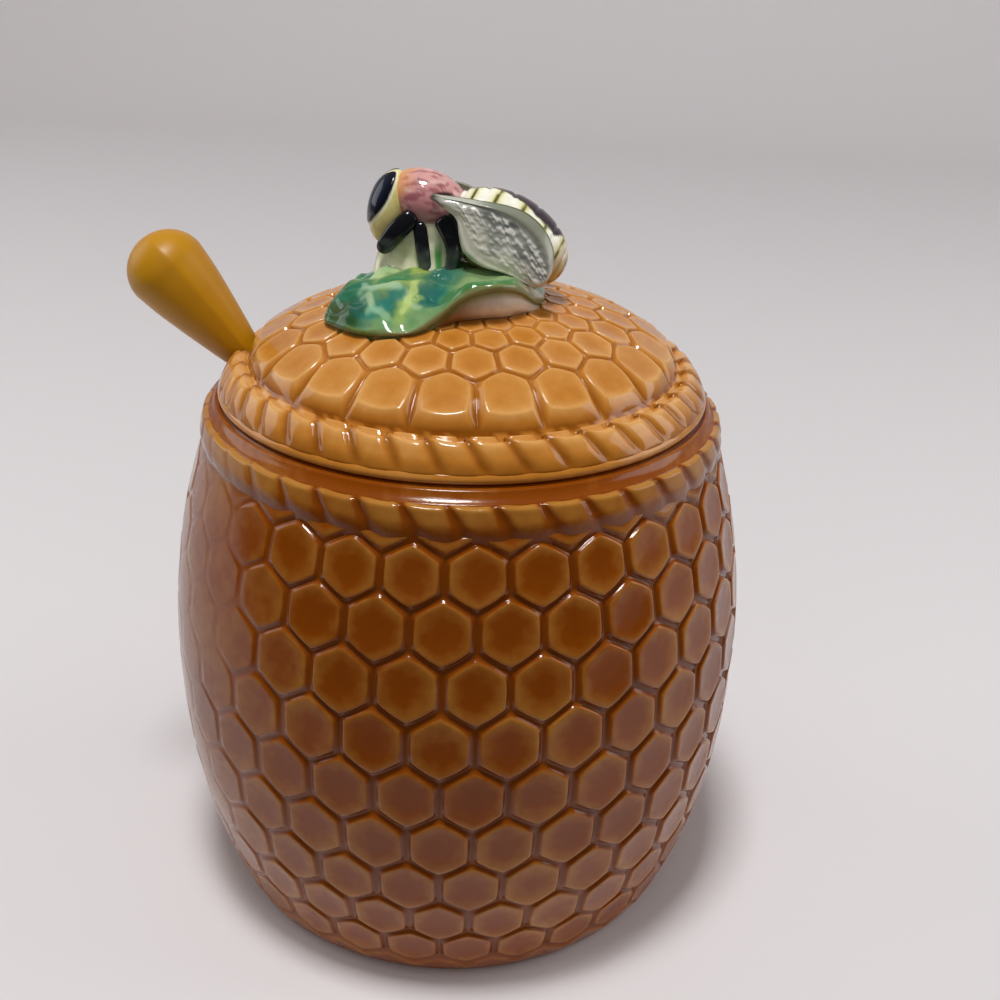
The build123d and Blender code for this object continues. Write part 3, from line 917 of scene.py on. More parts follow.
def wobble(points, size, seed):
    """A smooth random field, about -1 to 1: seven sine waves of wavelengths near size, in mm."""
    rng = np.random.default_rng(seed)
    waves = rng.normal(size=(7, 3))
    waves *= tau / size / np.linalg.norm(waves, axis=1, keepdims=True) * rng.uniform(0.6, 1.6, (7, 1))
    return np.sin(points @ waves.T + rng.uniform(0, tau, 7)).sum(-1) / 3.2


def close_ends(points, paint):
    """Adds a row at each end whose points all lie in the middle of the end row, so that it closes."""
    rows = [np.repeat(points[[i]].mean(1, keepdims=True), points.shape[1], 1) for i in (0, -1)]
    return np.concatenate([rows[0], points, rows[1]]), np.concatenate([paint[:1], paint, paint[-1:]])


def painted(points, ground, *coats):
    """A ground colour on every point, then coats in order: each a colour and its mask from 0 to 1."""
    paint = np.broadcast_to(np.array(linear(ground)), (*points.shape[:2], 4))
    for hex_code, mask in coats:
        mask = np.asarray(mask)[..., None]
        paint = paint * (1 - mask) + np.array(linear(hex_code)) * mask
    return paint


# %% An egg shape and a limb
def egg(centre, half_length, half_height, half_width, tilt, rows=72, columns=96, swell=None):
    """An ellipsoid about a long axis tilted below +X.

    Angles: along from its front end, around from the top.
    """
    along = np.linspace(0, pi, rows)[:, None]
    around = np.linspace(0, tau, columns, endpoint=False)[None, :]
    size = 1 if swell is None else swell(along, around)
    x = -half_length * np.cos(along) * size
    up = half_height * np.sin(along) * np.cos(around) * size
    side = -half_width * np.sin(along) * np.sin(around) * size
    lean = radians(tilt)
    points = [centre[0] + x * cos(lean) + up * sin(lean), side, centre[1] - x * sin(lean) + up * cos(lean)]
    return np.stack(np.broadcast_arrays(*points), -1), along, around


def limb(path, radii, flat, rows=40, columns=20):
    """A tube round a line of points, closed to a point at both ends; flat squashes it along Y."""
    path, radii = np.asarray(path, float), np.asarray(radii, float)
    at = np.linspace(0, len(path) - 1, rows)
    middle = through(np.arange(len(path)), path, at)
    radius = through(np.arange(len(path)), radii, at)
    ends = np.minimum(at, len(path) - 1 - at) / 0.35
    radius = radius * np.sqrt(np.clip(1 - (1 - np.clip(ends, 0, 1)) ** 2, 0, 1))
    run = np.gradient(middle, axis=0)
    run /= np.linalg.norm(run, axis=1, keepdims=True)
    side = np.cross(run, [0, 1, 0])
    side /= np.linalg.norm(side, axis=1, keepdims=True)
    out = np.cross(side, run) * flat
    turn = np.linspace(0, tau, columns, endpoint=False)[None, :, None]
    ring = side[:, None] * np.cos(turn) + out[:, None] * np.sin(turn)
    return middle[:, None] + radius[:, None, None] * ring


# %% The bee's head
head_x, head_height = -12.2, 12.8
head_nod = radians(13)


def eye_reach(along, around):
    """Distance from the eye's middle, 1 at its edge. It leans: its top lies further back than its foot."""
    up = 90 - np.degrees(along)
    off = np.degrees(np.abs(wrapped(around)))
    middle = 138 - 0.40 * (up - 22)
    return np.hypot((off - middle) / 43, (up - 22) / 52)


def head_swell(along, around):
    """The eye stands 5% proud of the head."""
    return 1 + 0.05 * ease(1.06, 0.9, eye_reach(along, around))


def bee_head():
    """The head's long axis is upright, so around runs from the back (0) past the near side to the face."""
    points, along, around = egg((head_x, 0), 6.1, 3.65, 4.6, 0, rows=90, columns=120, swell=head_swell)
    up, back = head_x - points[..., 0], points[..., 2]
    x = head_x + back * cos(head_nod) + up * sin(head_nod)
    z = dome_top + head_height - back * sin(head_nod) + up * cos(head_nod)
    points = np.stack([x, points[..., 1], z], -1)
    reach = eye_reach(along, around) + 0.03 * wobble(points, 5, 3)
    return points, painted(
        points,
        "EBDD92",
        ("C9BC6C", 0.5 * ease(0.2, 1.0, wobble(points, 5, 8))),  # uneven straw
        ("E79A4E", ease(1.4, 3.2, back) * ease(-2.5, 1.0, up) * 0.9),  # an orange nape
        ("F4F0CF", ease(1.22, 1.12, reach)),  # a pale ring round the eye
        ("10131F", ease(1.03, 0.97, reach)),  # the eye
        ("1B2238", ease(0.8, 0.3, reach)),
    )


# %% The thorax and the abdomen
abdomen_segments = 7.4
first_segment = 0.3  # the share of a segment that the front end leaves out
stripe_start, stripe_end = 0.9, 2.42  # where along the abdomen, in radians, the dark stripe lies


def bee_thorax():
    """Rose glaze, streaked from front to back, over a cream underside and an orange collar; paler towards
    the top, painted light from above.
    """
    points, along, _ = egg((-6.2, dome_top + 14.4), 6.6, 4.65, 5.1, 20)
    height = points[..., 2] - dome_top
    streaks = points * (0.28, 1.2, 1.6)
    crease = np.exp(-(((points[..., 0] + 3.5) / 1.9) ** 2) - ((height - 15.8) / 0.8) ** 2)
    return points, painted(
        points,
        "C98A8C",
        # a paler rose towards the top: painted light from above
        ("DDA7A0", ease(14.5, 18.5, height) * 0.8),
        ("93444F", ease(0.25, 0.8, wobble(streaks, 1.9, 5)) * 0.7),
        ("EECBC0", ease(0.35, 0.9, wobble(streaks, 2.2, 11)) * 0.65),
        ("7A3A45", ease(0.5, 0.8, wobble(streaks, 1.4, 15)) * ease(15.5, 17.5, height) * 0.6),
        ("EADFD2", ease(12.6, 10.9, height + 0.4 * wobble(points, 3, 9))),
        ("33231F", ease(0.3, 0.6, crease * (np.abs(points[..., 1]) > 1))),  # where the wings start
        ("E8A25E", ease(1.2, 0.72, along + 0.1 * wobble(points, 3, 19)) * 0.85),
    )


def segment(along, waver=0):
    """Place within a segment of the abdomen, from -0.5 to 0.5 between two olive lines."""
    return (along / pi * abdomen_segments + first_segment + waver) % 1 - 0.5


def abdomen_swell(along, around):
    """A shallow groove runs round the middle of each segment."""
    return 1 - 0.03 * bell(segment(along), 0.006**0.5)


def bee_abdomen():
    """Cream segments between thin olive lines, whiter in their middles towards the top as a painted sheen, a
    narrow dark stripe along the back, an ochre tail.
    """
    points, along, around = egg((6.6, dome_top + 9.0), 10.6, 7.0, 6.6, 27, 110, 140, abdomen_swell)
    ring = np.abs(segment(along, 0.03 * wobble(points, 4, 2)))
    back = np.abs(wrapped(around) + 0.02 * wobble(points, 3, 6))
    height = points[..., 2] - dome_top
    stripe = 0.03 + 0.44 * ease(stripe_start, 2.1, along) * ease(stripe_end, 2.2, along)
    rim = ease(stripe + 0.06, stripe + 0.03, back) * ease(0.5, 0.7, along) * ease(2.4, 2.3, along)
    core = ease(stripe + 0.03, stripe - 0.01, back) * ease(0.8, 1.0, along) * ease(stripe_end, 2.38, along)
    return points, painted(
        points,
        "F5F0C8",
        # a whiter middle on each segment, strongest on top: a painted sheen
        ("FDFCEE", 0.9 * ease(0.42, 0.1, ring) * ease(1.6, 0.7, back)),
        ("D6CB72", 0.6 * ease(0.3, 0.42, ring)),
        ("C39A48", ease(10.5, 4.0, height) * 0.85),
        ("5A5B2A", ease(0.425, 0.46, ring)),
        ("6B6A3C", rim),
        ("3B2F3A", core),
    )


bee = Skin("paint")
for part in (bee_head, bee_thorax, bee_abdomen):
    bee.add_grid(*part())
bee_body = bee.build("bee_body_painted")
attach(bee_body, "lid")
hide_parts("bee_body")

# %% The shape of a wing
# Upper and lower edge of a wing from its root to its tip: x, then height above the dome's top.
wing_upper = [
    (-4.8, 16.5), (-1.2, 16.4), (3.0, 16.0), (7.1, 15.5), (10.3, 14.5),
    (13.0, 12.4), (14.6, 9.6), (14.8, 6.6), (13.6, 3.7),
]
wing_lower = [
    (-4.8, 15.7), (-2.7, 14.6), (-0.8, 13.0), (-0.2, 10.4), (0.7, 8.0),
    (3.4, 6.2), (7.2, 5.3), (10.4, 4.1), (13.1, 3.4),
]
far_wing_drop = 2.4  # how much lower the far wing's upper edge lies
half_thickness = 0.75
wing_clearance = 6.0  # distance of the pad from the bee's middle plane, where the wing is highest


def wing_surface(side):
    """A leaf-thin pad: along from root to tip, and round its section from edge to edge and back."""
    along = np.linspace(0, 1, 110)
    knots = np.linspace(0, 1, len(wing_upper))
    upper, lower = through(knots, wing_upper, along), through(knots, wing_lower, along)
    upper[:, 1] -= (side > 0) * far_wing_drop * ease(0.02, 0.4, along) * ease(1.0, 0.9, along)
    turn = np.linspace(0, tau, 140, endpoint=False)
    across = np.cos(turn)[None, :]
    outside = np.sign(np.sin(turn))[None, :]
    share = ((1 - across) / 2)[..., None]
    flat = upper[:, None] * (1 - share) + lower[:, None] * share
    x, z = flat[..., 0], flat[..., 1]
    along = along[:, None]
    taper = ease(0, 0.1, along) * ease(1.0, 0.93, along)
    rim = 0.5 * bell(across - 0.8, 0.14) + 0.3 * bell(across + 0.88, 0.1)
    slanted = np.stack([(x - 0.7 * z) * 0.27, np.zeros_like(x), (0.7 * x + z) * 0.8], -1)
    flecks = 0.6 * wobble(slanted, 0.8, 21) + 0.6 * wobble(slanted, 0.5, 23)
    field = ease(0.68, 0.5, np.abs(across)) * ease(0.12, 0.24, along) * ease(0.98, 0.88, along)
    thick = half_thickness * np.sqrt(np.clip(1 - across**4, 0, 1)) * (0.35 + 0.65 * taper)
    relief = np.where(outside > 0, (rim + 0.12 * flecks * field) * taper, 0)
    middle = wing_clearance + 0.2 * (15.6 - z) + 0.9 * (1 - across**2) * taper - 0.5 * (1 - taper)
    y = side * (middle + outside * thick + relief)
    return np.stack([x, y, dome_top + z], -1), along, across, flecks, field


# %% Paint and place the wings
def wing(name, side):
    """Grey glaze over white clay: white flecks painted as highlights on the raised pebbles, charcoal
    shading, a pale rim, and a painted highlight on the upper part near the root.
    """
    points, along, across, flecks, field = wing_surface(side)
    tone = wobble(points * (1, side, 1), 5, 41)
    lower_half = ease(0.1, -0.5, across + 0.2 * tone)
    dark = band(along, 0.2, 0.34, 0.5, 0.62) * band(across, -0.05, 0.3, 0.55, 0.7)
    dark = dark + band(along, 0.58, 0.7, 0.88, 0.98) * band(across, -0.45, 0.15, 0.68, 0.85)
    green = ease(8.8, 6.8, points[..., 2] - dome_top) * ease(3.6, 1.2, points[..., 0])
    inside_rim = bell(across - 0.62, 0.05) * band(along, 0.1, 0.2, 0.5, 0.7)
    paint = painted(
        points,
        "BFBEB2",
        ("94958C", ease(-0.6, 0.6, tone) * field * 0.8),
        ("3E4347", np.clip(dark, 0, 1) * (0.6 - 0.2 * tone) * ease(1.0, -0.3, flecks)),
        ("E9E4D0", lower_half * ease(0.95, 0.7, along) * 0.75),
        # white on the raised flecks of the pebbled field: painted highlights
        ("F2F0E8", ease(0.05, 0.6, flecks) * field * 0.8),
        ("7B7F6C", ease(0.64, 0.7, across) * ease(0.85, 0.6, along) * 0.85),
        # paler upper half near the root: a painted highlight
        ("CDD0C0", ease(0.1, 0.7, across) * ease(0.32, 0.2, along) * 0.7),
        ("5C9656", green * 0.85),  # the leaf's green has run up onto the wing's foot
        ("5F6466", inside_rim * 0.7),
        ("5B5F3C", ease(0.965, 0.99, across) * ease(0.97, 0.85, along)),
        ("4A443C", ease(0.12, 0.03, along + 0.05 * across) * 0.9),  # the root
        ("D9CDBF", ease(0.88, 0.98, along) * 0.8),  # the bare tip
    )
    pad = Skin("paint")
    pad.add_grid(*close_ends(points, paint))
    piece = pad.build(name + "_painted")
    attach(piece, "lid")
    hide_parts(name)
    return piece


near_wing = wing("bee_left_wing", -1)
far_wing = wing("bee_right_wing", 1)

# %% Legs
# The three legs on one side: points as x, distance from the middle and height above the dome's top,
# then the radius at each point.
leg_lines = [
    ([(-7.6, 4.4, 13.0), (-10.3, 5.3, 10.3), (-13.3, 4.9, 6.6)], (1.5, 1.6, 1.25)),
    ([(-7.0, 4.3, 11.8), (-6.3, 5.2, 8.0), (-5.7, 5.0, 3.6)], (1.1, 1.15, 1.0)),
    ([(-3.0, 4.9, 13.2), (-1.6, 5.7, 10.6), (-1.2, 5.9, 7.4), (-2.0, 5.4, 3.8)], (2.1, 1.85, 1.2, 0.8)),
]


def legs(name, side):
    """Near-black legs, turning grey towards their feet."""
    group = Skin("paint")
    for line_points, radii in leg_lines:
        points = limb(np.array(line_points) * (1, side, 1) + (0, 0, dome_top), radii, flat=0.6)
        height = points[..., 2] - dome_top + 1.2 * wobble(points, 3, 4)
        group.add_grid(points, painted(points, "15161B", ("6A706E", ease(9.5, 4.5, height) * 0.75)))
    piece = group.build(name + "_painted")
    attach(piece, "lid")
    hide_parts(name)
    return piece


near_legs = legs("bee_left_legs", -1)
far_legs = legs("bee_right_legs", 1)

# %% The leaf's stations
# Stations along X: near edge, crest and far edge, each as Y and height above the dome's top.
leaf_knots = [-21.3, -20.8, -19.3, -15.0, -9.0, -5.0, -2.0, 1.5, 5.0, 8.0, 10.4, 12.2, 13.2]
leaf_stations = [
    [(-9.7, -3.2), (-9.3, -3.0), (-9.0, -3.2)],
    [(-11.8, -2.5), (-9.0, -1.6), (-6.3, -2.3)],
    [(-14.2, -1.9), (-8.3, 0.3), (-2.8, -0.8)],
    [(-18.2, -1.5), (-6.0, 3.0), (5.5, 0.2)],
    [(-20.0, -1.3), (-3.0, 4.4), (12.0, 0.8)],
    [(-19.2, -0.9), (-1.0, 4.6), (13.8, 1.9)],
    [(-17.6, 1.0), (-0.5, 4.6), (14.8, 2.8)],
    [(-16.4, 3.9), (0.0, 4.6), (15.0, 3.8)],
    [(-15.2, 5.3), (0.0, 4.6), (14.9, 4.4)],
    [(-13.8, 5.5), (0.0, 4.5), (13.6, 4.3)],
    [(-10.6, 4.2), (0.0, 4.2), (11.0, 3.6)],
    [(-6.2, 1.6), (0.0, 2.0), (6.8, 1.2)],
    [(-0.6, -0.4), (0.0, -0.3), (0.6, -0.4)],
]
leaf_tip, leaf_stem = leaf_knots[0], leaf_knots[-1]
leaf_end = 13.16  # just short of the stem's last station, where the two edges would meet
midrib = -0.38  # the midrib's place between the near edge (-1) and the far edge (1)
leaf_thickness = 1.25
# The leaf's rolled edge, from above to below: outwards in mm, and down as a share of the thickness.
leaf_lip = [(0.42, 0.18), (0.62, 0.5), (0.5, 0.88), (-0.05, 1.12), (-0.6, 1.15)]


def lid_height(x, y):
    """Height of the dome's skin above a point of the plan, less the depth of its cells."""
    return np.interp(-np.hypot(x, y), -dome.radii, dome.heights) - 0.6


# %% The leaf's surface
def leaf_surface():
    """A loop round the leaf at each X: over the top, round the edge, down a skirt and back underneath."""
    x = np.concatenate([np.linspace(leaf_tip, -17.5, 34), np.linspace(-17.5, leaf_end, 120)[1:]])
    column = x[:, None]
    near, crest, far = np.moveaxis(through(leaf_knots, leaf_stations, x), 1, 0)
    w = np.linspace(1, -1, 81)[None, :]
    edge = np.where(w[..., None] > 0, far[:, None], near[:, None])
    share = np.abs(w)[..., None]
    top = crest[:, None] + (edge - crest[:, None]) * np.concatenate([share, share**1.9], -1)
    y, z = top[..., 0], top[..., 1]
    place = np.stack(np.broadcast_arrays(column, y, z), -1)
    out = np.abs(w - midrib)
    veins = np.sin((column - 2.3 * out * 4.0) * 1.15 + 0.5 * wobble(place, 8, 13))
    veins = veins * ease(0.03, 0.2, out) * ease(1.0, 0.8, np.abs(w)) * ease(2.0, -5.0, column)
    ends = ease(leaf_tip, -19, column) * ease(leaf_stem, 10, column)
    rib = bell(w - midrib, 0.045) * ease(1.0, -6.0, column)
    z = z + ends * (0.34 * veins - 0.5 * rib + 0.55 * bell(out, 0.16) + 0.35 * wobble(place, 6, 17))
    z = z + ends * 0.45 * ease(0.78, 0.93, np.abs(w)) * ease(1.0, 0.94, np.abs(w))
    loops = [np.stack([y, z + dome_top], -1)]
    for side, line_edge in ((-1, near), (1, far)):
        edge_y, edge_z = line_edge[:, 0], line_edge[:, 1] + dome_top
        ground = lid_height(x, edge_y - side * 1.0)
        thick = np.minimum(leaf_thickness, 0.6 * np.maximum(edge_z - ground, 0.2))
        undercut = 0.5 + 1.1 * ease(-6, 2, x)
        fullness = ease(leaf_tip, -20, x)
        skirt = [np.stack([edge_y + side * a * fullness, edge_z - b * thick], -1) for a, b in leaf_lip]
        for down in (0.2, 0.45, 0.7, 0.88, 1.0):
            belly = 0.55 * sin(pi * down) + 0.25
            tuck = 3.6 * ease(0.55, 1.0, down) * ease(-3, 1, x) * ease(leaf_stem, 10, x)
            y_wall = edge_y - side * (undercut * (0.45 + 0.55 * down) - belly * ease(-3, 2, x) + tuck)
            z_wall = edge_z - 1.3 * thick + (ground - 0.5 - edge_z + 1.3 * thick) * down
            skirt.append(np.stack([y_wall, z_wall], -1))
        skirt = np.stack(skirt, 1)
        loops.append(skirt if side < 0 else skirt[:, ::-1])
    loop = np.concatenate(loops, 1)
    plan_x = np.broadcast_to(x[:, None, None], (*loop.shape[:2], 1))
    return np.concatenate([plan_x, loop], -1), w, veins, rib


# %% The leaf's paint
# Brush strokes: plan of the start and the end, half width in mm, colour and strength.
leaf_strokes = [
    ((-17.5, -14.5), (-15.5, -17.5), 2.3, "23502D", 0.85),
    ((-17.7, -12.0), (-14.6, -9.2), 1.3, "2F7558", 0.75),
    ((-15.0, -15.0), (-12.8, -19.2), 0.9, "175A50", 0.8),
    ((-11.4, -9.6), (-8.6, -7.6), 1.1, "2F7B55", 0.75),
    ((-8.6, -12.7), (-12.1, -17.9), 1.3, "23776A", 0.85),
    ((-3.3, -7.2), (-4.6, -14.0), 1.9, "246A60", 0.8),
    ((-0.5, -14.3), (3.0, -15.9), 1.3, "3F7F48", 0.75),
    ((3.0, -15.9), (8.4, -14.0), 1.3, "4C8A4E", 0.75),
    ((-14.3, -11.3), (-9.2, -11.5), 0.8, "AFD3B2", 0.6),
    ((-11.8, -16.6), (-9.8, -17.7), 1.0, "9CC9A2", 0.6),
    ((-13.6, -8.2), (-10.6, -5.9), 0.8, "BCD69A", 0.7),
    ((-7.8, -17.6), (-5.9, -13.6), 1.1, "9DB961", 0.75),
    ((-6.4, -9.9), (-7.2, -16.3), 0.6, "BFD381", 0.8),
]
first_stroke_seed = 70


def brushed(points, start, end, half_width, seed):
    """1 along a straight stroke and 0 beyond it, by distance in plan; a wobble makes its edge uneven."""
    run = np.subtract(end, start)
    off = points[..., :2] - np.array(start)
    along = np.clip(off @ run / (run @ run), 0, 1)
    distance = np.linalg.norm(off - along[..., None] * run, axis=-1) + 0.35 * wobble(points, 2.4, seed)
    return ease(1.45 * half_width, 0.5 * half_width, distance)


def paint_leaf_top(top, w, veins, rib):
    """Pools of teal and green over leaf green, a warm band along the midrib, and brush strokes."""
    x, from_middle = top[..., 0], np.abs(w)
    wide = ease(-0.15, 0.55, wobble(top, 7.5, 51))
    small = ease(0.0, 0.8, wobble(top, 3.6, 53))
    warm = bell(w + 0.34, 0.2) * ease(-16, -12, x) * ease(-1, -5, x)
    strokes = [
        (colour, brushed(top, start, end, half_width, first_stroke_seed + number) * strength)
        for number, (start, end, half_width, colour, strength) in enumerate(leaf_strokes)
    ]
    return painted(
        top,
        "769A66",
        ("4A8A50", small * 0.85),
        ("1F7466", wide * (0.62 + 0.33 * small)),
        ("155A50", ease(0.1, 0.8, -veins) * 0.6),
        ("C2D8AA", ease(0.55, 0.95, veins) * 0.55),
        ("B4C25A", warm * (0.7 - 0.4 * wide)),
        ("2E7A55", rib * 0.7),
        ("24562F", ease(-15.5, -18.5, x + 0.25 * (top[..., 1] + 9)) * 0.8),
        ("90A873", ease(0.4, 0.7, from_middle) * ease(-2, 2, x) * 0.8),
        *strokes,
        ("3C7A3F", ease(0.86, 0.97, from_middle) * ease(-3, 1, x) * 0.7),
        ("C9BFA8", ease(9.0, 11.0, x) * ease(0.6, 0.8, -w) * 0.8),
        ("8FB078", ease(0.88, 0.97, from_middle) * ease(-15, -12, x) * ease(-2, -5, x) * 0.5),
    )


def paint_leaf_skirt(skirt):
    """Olive sides, and under the abdomen a cream pad, browner towards the lid as a painted reflection of the
    lid's glaze and painted shade, and near-black deepest underneath, a painted shadow.
    """
    x, height = skirt[..., 0], skirt[..., 2] - dome_top
    rows = np.arange(x.shape[1])[None, :]
    rows = np.minimum(rows, x.shape[1] - 1 - rows)
    uneven = 0.5 * wobble(skirt, 5, 57)
    side = painted(
        skirt,
        "66783E",
        ("3E6B45", ease(-14.5, -18.0, x)),
        ("8B8A5C", ease(-13, -8, x) * 0.7),
        ("4F7F4A", ease(-4, 0, x) * ease(2.5, 4.5, rows)),
    )
    pad = painted(
        skirt,
        "BC9468",
        # browner near the lid: painted reflection of the lid's orange glaze and painted shade
        ("7A4A22", ease(2.6, 0.6, height + uneven) * 0.85),
        ("E3D5C4", ease(8.6, 6.0, rows + uneven) * ease(0.5, 7, x) * 0.95),
        # near-black in the deepest rows underneath: a painted shadow
        ("3A2412", ease(9.0, 11.5, rows + uneven) * 0.75),
    )
    below = ease(-2.8, -1.2, x) * ease(4.2, 5.2, rows)
    return side + (pad - side) * below[..., None]


# %% The mound under the bee
mound_x = -7.5
mound_low, mound_high = 2.5, 14.2
mound_half_length, mound_half_width = 6.2, 4.3
mound_corner = 0.6  # power of the rounded rectangle; 1 would be an ellipse


def mound_surface():
    """A soft block: a rounded rectangle carried upwards, wider at its foot where it meets the leaf."""
    height = np.linspace(mound_low, mound_high, 60)[:, None]
    turn = np.linspace(0, tau, 120, endpoint=False)[None, :]
    flare = 1.6 * (1 - (height - mound_low) / (mound_high - mound_low)) ** 3
    length = mound_half_length + flare
    width = mound_half_width - 1.3 * ease(10.5, 13.5, height) + flare
    x = mound_x + length * np.sign(np.cos(turn)) * np.abs(np.cos(turn)) ** mound_corner
    y = width * np.sign(np.sin(turn)) * np.abs(np.sin(turn)) ** mound_corner
    points = np.stack(np.broadcast_arrays(x, y, dome_top + height), -1)
    stems = np.sin(x * 2.1 + 0.12 * (height - 6) + 0.5 * wobble(points, 6, 61))
    points[..., 1] *= 1 + 0.05 * stems * ease(9.5, 6.0, height) + 0.02 * wobble(points, 3, 62)
    return points, painted(
        points,
        "EEEBC8",
        ("C6CF98", ease(-0.2, 0.9, wobble(points, 5, 63)) * 0.6),
        ("5FAE5A", ease(0.15, 0.75, -stems) * ease(-8.5, -6.5, x) * ease(9.5, 6.5, height)),
        # white on the raised stems: painted highlights
        ("FBFCF2", ease(0.5, 0.9, stems) * ease(-8.5, -6.5, x) * ease(10.0, 7.0, height) * 0.9),
    )


leaf_points, leaf_w, leaf_veins, leaf_rib = leaf_surface()
leaf_top, leaf_skirt = np.split(leaf_points, [leaf_w.shape[1]], axis=1)
leaf_paint = [paint_leaf_top(leaf_top, leaf_w, leaf_veins, leaf_rib), paint_leaf_skirt(leaf_skirt)]
leaf_skin = Skin("paint")
leaf_skin.add_grid(*close_ends(leaf_points, np.concatenate(leaf_paint, 1)))
leaf_skin.add_grid(*close_ends(*mound_surface()))
leaf = leaf_skin.build("leaf_painted")
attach(leaf, "lid")
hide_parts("leaf")

# %% [markdown]
# ## The dipper
#
# The dipper is moulded in two halves from amber plastic, so a faint ridge runs along its handle
# where the halves of the mould met. It is turned in one go: a profile of distances from its axis,
# carried round, with the ridge added at two opposite angles.

# %% The dipper's profile
# Distances along the axis count from the place where the stem rests in the notch.
rest_point = np.array([-35.9716, 0.0, 92.7378])
lean = radians(41.9)
outwards = np.array([-sin(lean), 0.0, cos(lean)])
stem_radius = 2.3
stem_start, stem_end = -73.0, -16.0
head_distance = 94.7045
head_length, head_radius, core_radius = 34.0, 11.0, 4.0
rib_count, rib_width, rib_round = 8, 2.1, 0.9
handle_start, handle_end, handle_end_radius, cap_length = -15.0, 21.6, 6.9, 6.4

rib_pitch = head_length / rib_count
core_reach = (head_length - rib_pitch) / 2
rib_steps = np.linspace(-1, 1, 11)
rib_middles = (np.arange(rib_count) + 0.5) * rib_pitch - head_length / 2
rib_tips = head_radius * np.sqrt(1 - (2 * (np.abs(rib_middles) + rib_width / 2) / head_length) ** 2)
round_edge = (1 - np.abs(rib_steps) ** 4) ** 0.25
rib_along = rib_middles[:, None] + rib_steps * rib_width / 2
rib_radius = np.maximum(core_radius, rib_tips[:, None] - rib_round * (1 - round_edge))
rib_radius[:, [0, -1]] = core_radius
tip = np.linspace(0, pi / 2, 14)[1:]
handle_along = [handle_start, 0.0, 2.0, 4.0, 8.0, 13.0, 18.0, handle_end]
handle_radius = [2.3, 2.35, 2.85, 3.45, 4.4, 5.5, 6.45, handle_end_radius]
handle_at = np.linspace(handle_start, handle_end, 60)
profile = np.concatenate(
    [
        np.array([[-core_reach - head_distance, 0.0]]),
        np.stack([rib_along.ravel() - head_distance, rib_radius.ravel()], -1),
        line((core_reach - head_distance, core_radius), (stem_start - 1, stem_radius), 6)[1:],
        line((stem_start, stem_radius), (stem_end, stem_radius), 20),
        np.stack([handle_at, through(handle_along, handle_radius, handle_at)], -1),
        np.stack([handle_end + cap_length * np.sin(tip), handle_end_radius * np.cos(tip)], -1),
    ]
)
print("dipper profile", len(profile), "points,", round(float(profile[-1][0] - profile[0][0]), 1), "mm long")

# %% Turn the dipper
ridge_angle = 0.62
ridge_height, ridge_width = 0.34, 0.22

turn = np.linspace(0, tau, 96, endpoint=False)[None, :]
off_ridge = np.minimum(np.abs(wrapped(turn - ridge_angle)), np.abs(wrapped(turn - ridge_angle - pi)))
ridge = ridge_height * np.exp(-off_ridge / ridge_width)
along, radius = profile[:, :1], profile[:, 1:]
radius = radius + ridge * ease(0, 3, radius) * (along > -20)
side_axis = np.array([0.0, -1.0, 0.0])
up_axis = np.cross(outwards, side_axis)
spokes = np.cos(turn)[..., None] * side_axis + np.sin(turn)[..., None] * up_axis
dipper_points = rest_point + along[..., None] * outwards + radius[..., None] * spokes
dipper_faces = grid_faces(*dipper_points.shape[:2], closed=True)
dipper = make_object("dipper_moulded", dipper_points.reshape(-1, 3), dipper_faces)
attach(dipper, "dipper")
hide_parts("dipper")

# %% [markdown]
# ## Glazes and plastic
#
# The pot and the lid wear one honey glaze over a cream body. A translucent glaze is pale where it
# runs thin on an edge and dark where it pools in a groove, so the colour follows the thickness that
# was stored at each point, blurred a little by noise, as real glaze never settles evenly.

# %% A glaze whose colour follows its thickness
# Sizes in millimetres: wide and fine unevenness of the thickness, each with its strength, and the
# width and height of the skin's orange peel. The skin is smooth and glassy, with soft reflections.
unevenness = ((14, 0.55), (2.2, 0.3))
peel_size, peel_height = 1.6, 0.06
middle_thickness = 0.45


def noise(place, size, detail):
    """The inputs of a noise whose features are about size millimetres wide."""
    return {"Vector": place, "Scale": 1000 / size, "Detail": detail}


def ripple_skin(tree, shader, place, size, height, strength):
    """Small waves in the skin, by a bump that follows a noise."""
    waves = add_node(tree, "ShaderNodeTexNoise", noise(place, size, 2.0)).outputs["Fac"]
    settings = {"Height": waves, "Strength": strength, "Distance": height * mm}
    bump = add_node(tree, "ShaderNodeBump", settings)
    tree.links.new(bump.outputs["Normal"], shader.inputs["Normal"])


def glaze_material(name, thin, middle, pooled, ior, roughness, shift=0.0):
    """Thickness plus two sizes of noise picks the colour; fine noise gives the skin its orange peel."""
    material, tree, shader = new_material(name, roughness, ior)
    place = add_node(tree, "ShaderNodeTexCoord", {}).outputs["Object"]
    place = add_node(tree, "ShaderNodeMapping", {"Vector": place, "Location": (shift,) * 3}).outputs[0]
    depth = add_node(tree, "ShaderNodeAttribute", {}, attribute_name="glaze").outputs["Fac"]
    for size, strength in unevenness:
        cloud = add_node(tree, "ShaderNodeTexNoise", noise(place, size, 3.0)).outputs["Fac"]
        centred = add_node(tree, "ShaderNodeMath", {0: cloud, 1: 0.5}, operation="SUBTRACT").outputs[0]
        added = {0: centred, 1: strength, 2: depth}
        depth = add_node(tree, "ShaderNodeMath", added, operation="MULTIPLY_ADD").outputs[0]
    ramp = add_node(tree, "ShaderNodeValToRGB", {"Fac": depth})
    ramp.color_ramp.elements[0].color = linear(thin)
    ramp.color_ramp.elements[1].color = linear(pooled)
    ramp.color_ramp.elements.new(middle_thickness).color = linear(middle)
    tree.links.new(ramp.outputs["Color"], shader.inputs["Base Color"])
    ripple_skin(tree, shader, place, peel_size, peel_height, strength=0.25)
    return material


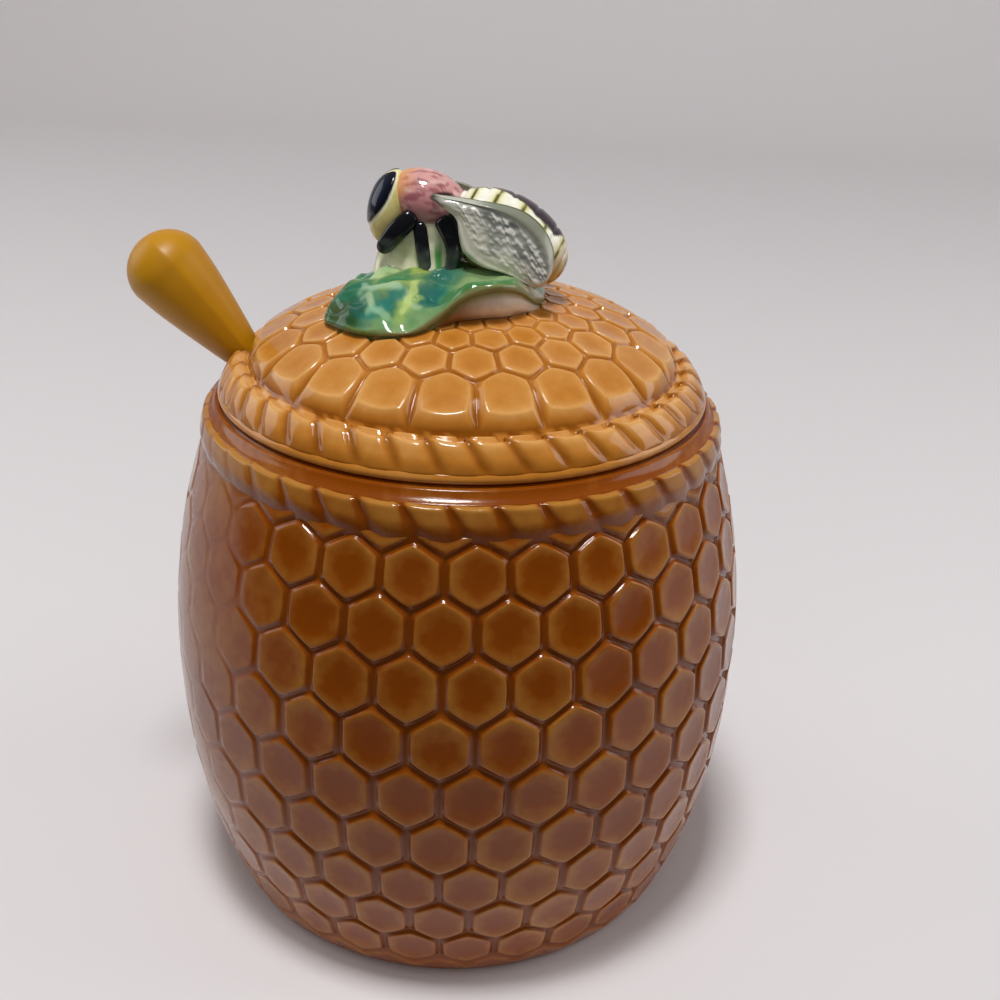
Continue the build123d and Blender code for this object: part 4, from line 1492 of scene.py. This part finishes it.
pot_glaze = glaze_material(
    "honey glaze, thick", thin="B67C33", middle="8A4202", pooled="6E3401", ior=1.42, roughness=0.15
)
lid_glaze = glaze_material(
    "honey glaze, thin", thin="E0A65E", middle="C47E2E", pooled="8E4F0A", ior=1.5, roughness=0.11, shift=0.31
)
for piece in (pot, pot_rope):
    piece.data.materials.append(pot_glaze)
for piece in (lid, lid_rope):
    piece.data.materials.clear()
    piece.data.materials.append(lid_glaze)


# %% Painted pieces under a clear glaze
def painted_material(name, roughness, ior):
    """The painted colour, a little uneven, under a clear glaze with a soft ripple."""
    material, tree, shader = new_material(name, roughness, ior)
    place = add_node(tree, "ShaderNodeTexCoord", {}).outputs["Object"]
    paint = add_node(tree, "ShaderNodeAttribute", {}, attribute_name="paint").outputs["Color"]
    stroke = add_node(tree, "ShaderNodeTexNoise", noise(place, 1.1, 4.0)).outputs["Fac"]
    levels = {"Value": stroke, "To Min": 0.84, "To Max": 1.16}
    bright = add_node(tree, "ShaderNodeMapRange", levels).outputs[0]
    colour = add_node(tree, "ShaderNodeHueSaturation", {"Value": bright, "Color": paint}).outputs["Color"]
    tree.links.new(colour, shader.inputs["Base Color"])
    ripple_skin(tree, shader, place, size=2.0, height=0.1, strength=0.3)
    return material


clear_glaze = painted_material("clear glaze over painted colours", roughness=0.1, ior=1.5)
for piece, slot in (
    (bee_body, "bee_glaze"),
    (leaf, "leaf_glaze"),
    (near_wing, "wing_glaze"),
    (far_wing, "wing_glaze"),
    (near_legs, "leg_glaze"),
    (far_legs, "leg_glaze"),
):
    piece.data.materials.append(clear_glaze)

# %% Moulded amber plastic
# The melt leaves faint lighter and darker flow marks, about 17 mm wide; the skin is satin.
flow_size = 1000 / 60
plastic, plastic_tree, plastic_shader = new_material("moulded amber polystyrene", roughness=0.4, ior=1.46)
place = add_node(plastic_tree, "ShaderNodeTexCoord", {}).outputs["Object"]
flow = add_node(plastic_tree, "ShaderNodeTexNoise", noise(place, flow_size, 2.0)).outputs["Fac"]
tint = add_node(plastic_tree, "ShaderNodeValToRGB", {"Fac": flow})
for stop, position, hex_code in zip(tint.color_ramp.elements, (0.3, 0.7), ("BE8202", "CD9206")):
    stop.position, stop.color = position, linear(hex_code)
plastic_tree.links.new(tint.outputs["Color"], plastic_shader.inputs["Base Color"])
dipper.data.materials.append(plastic)
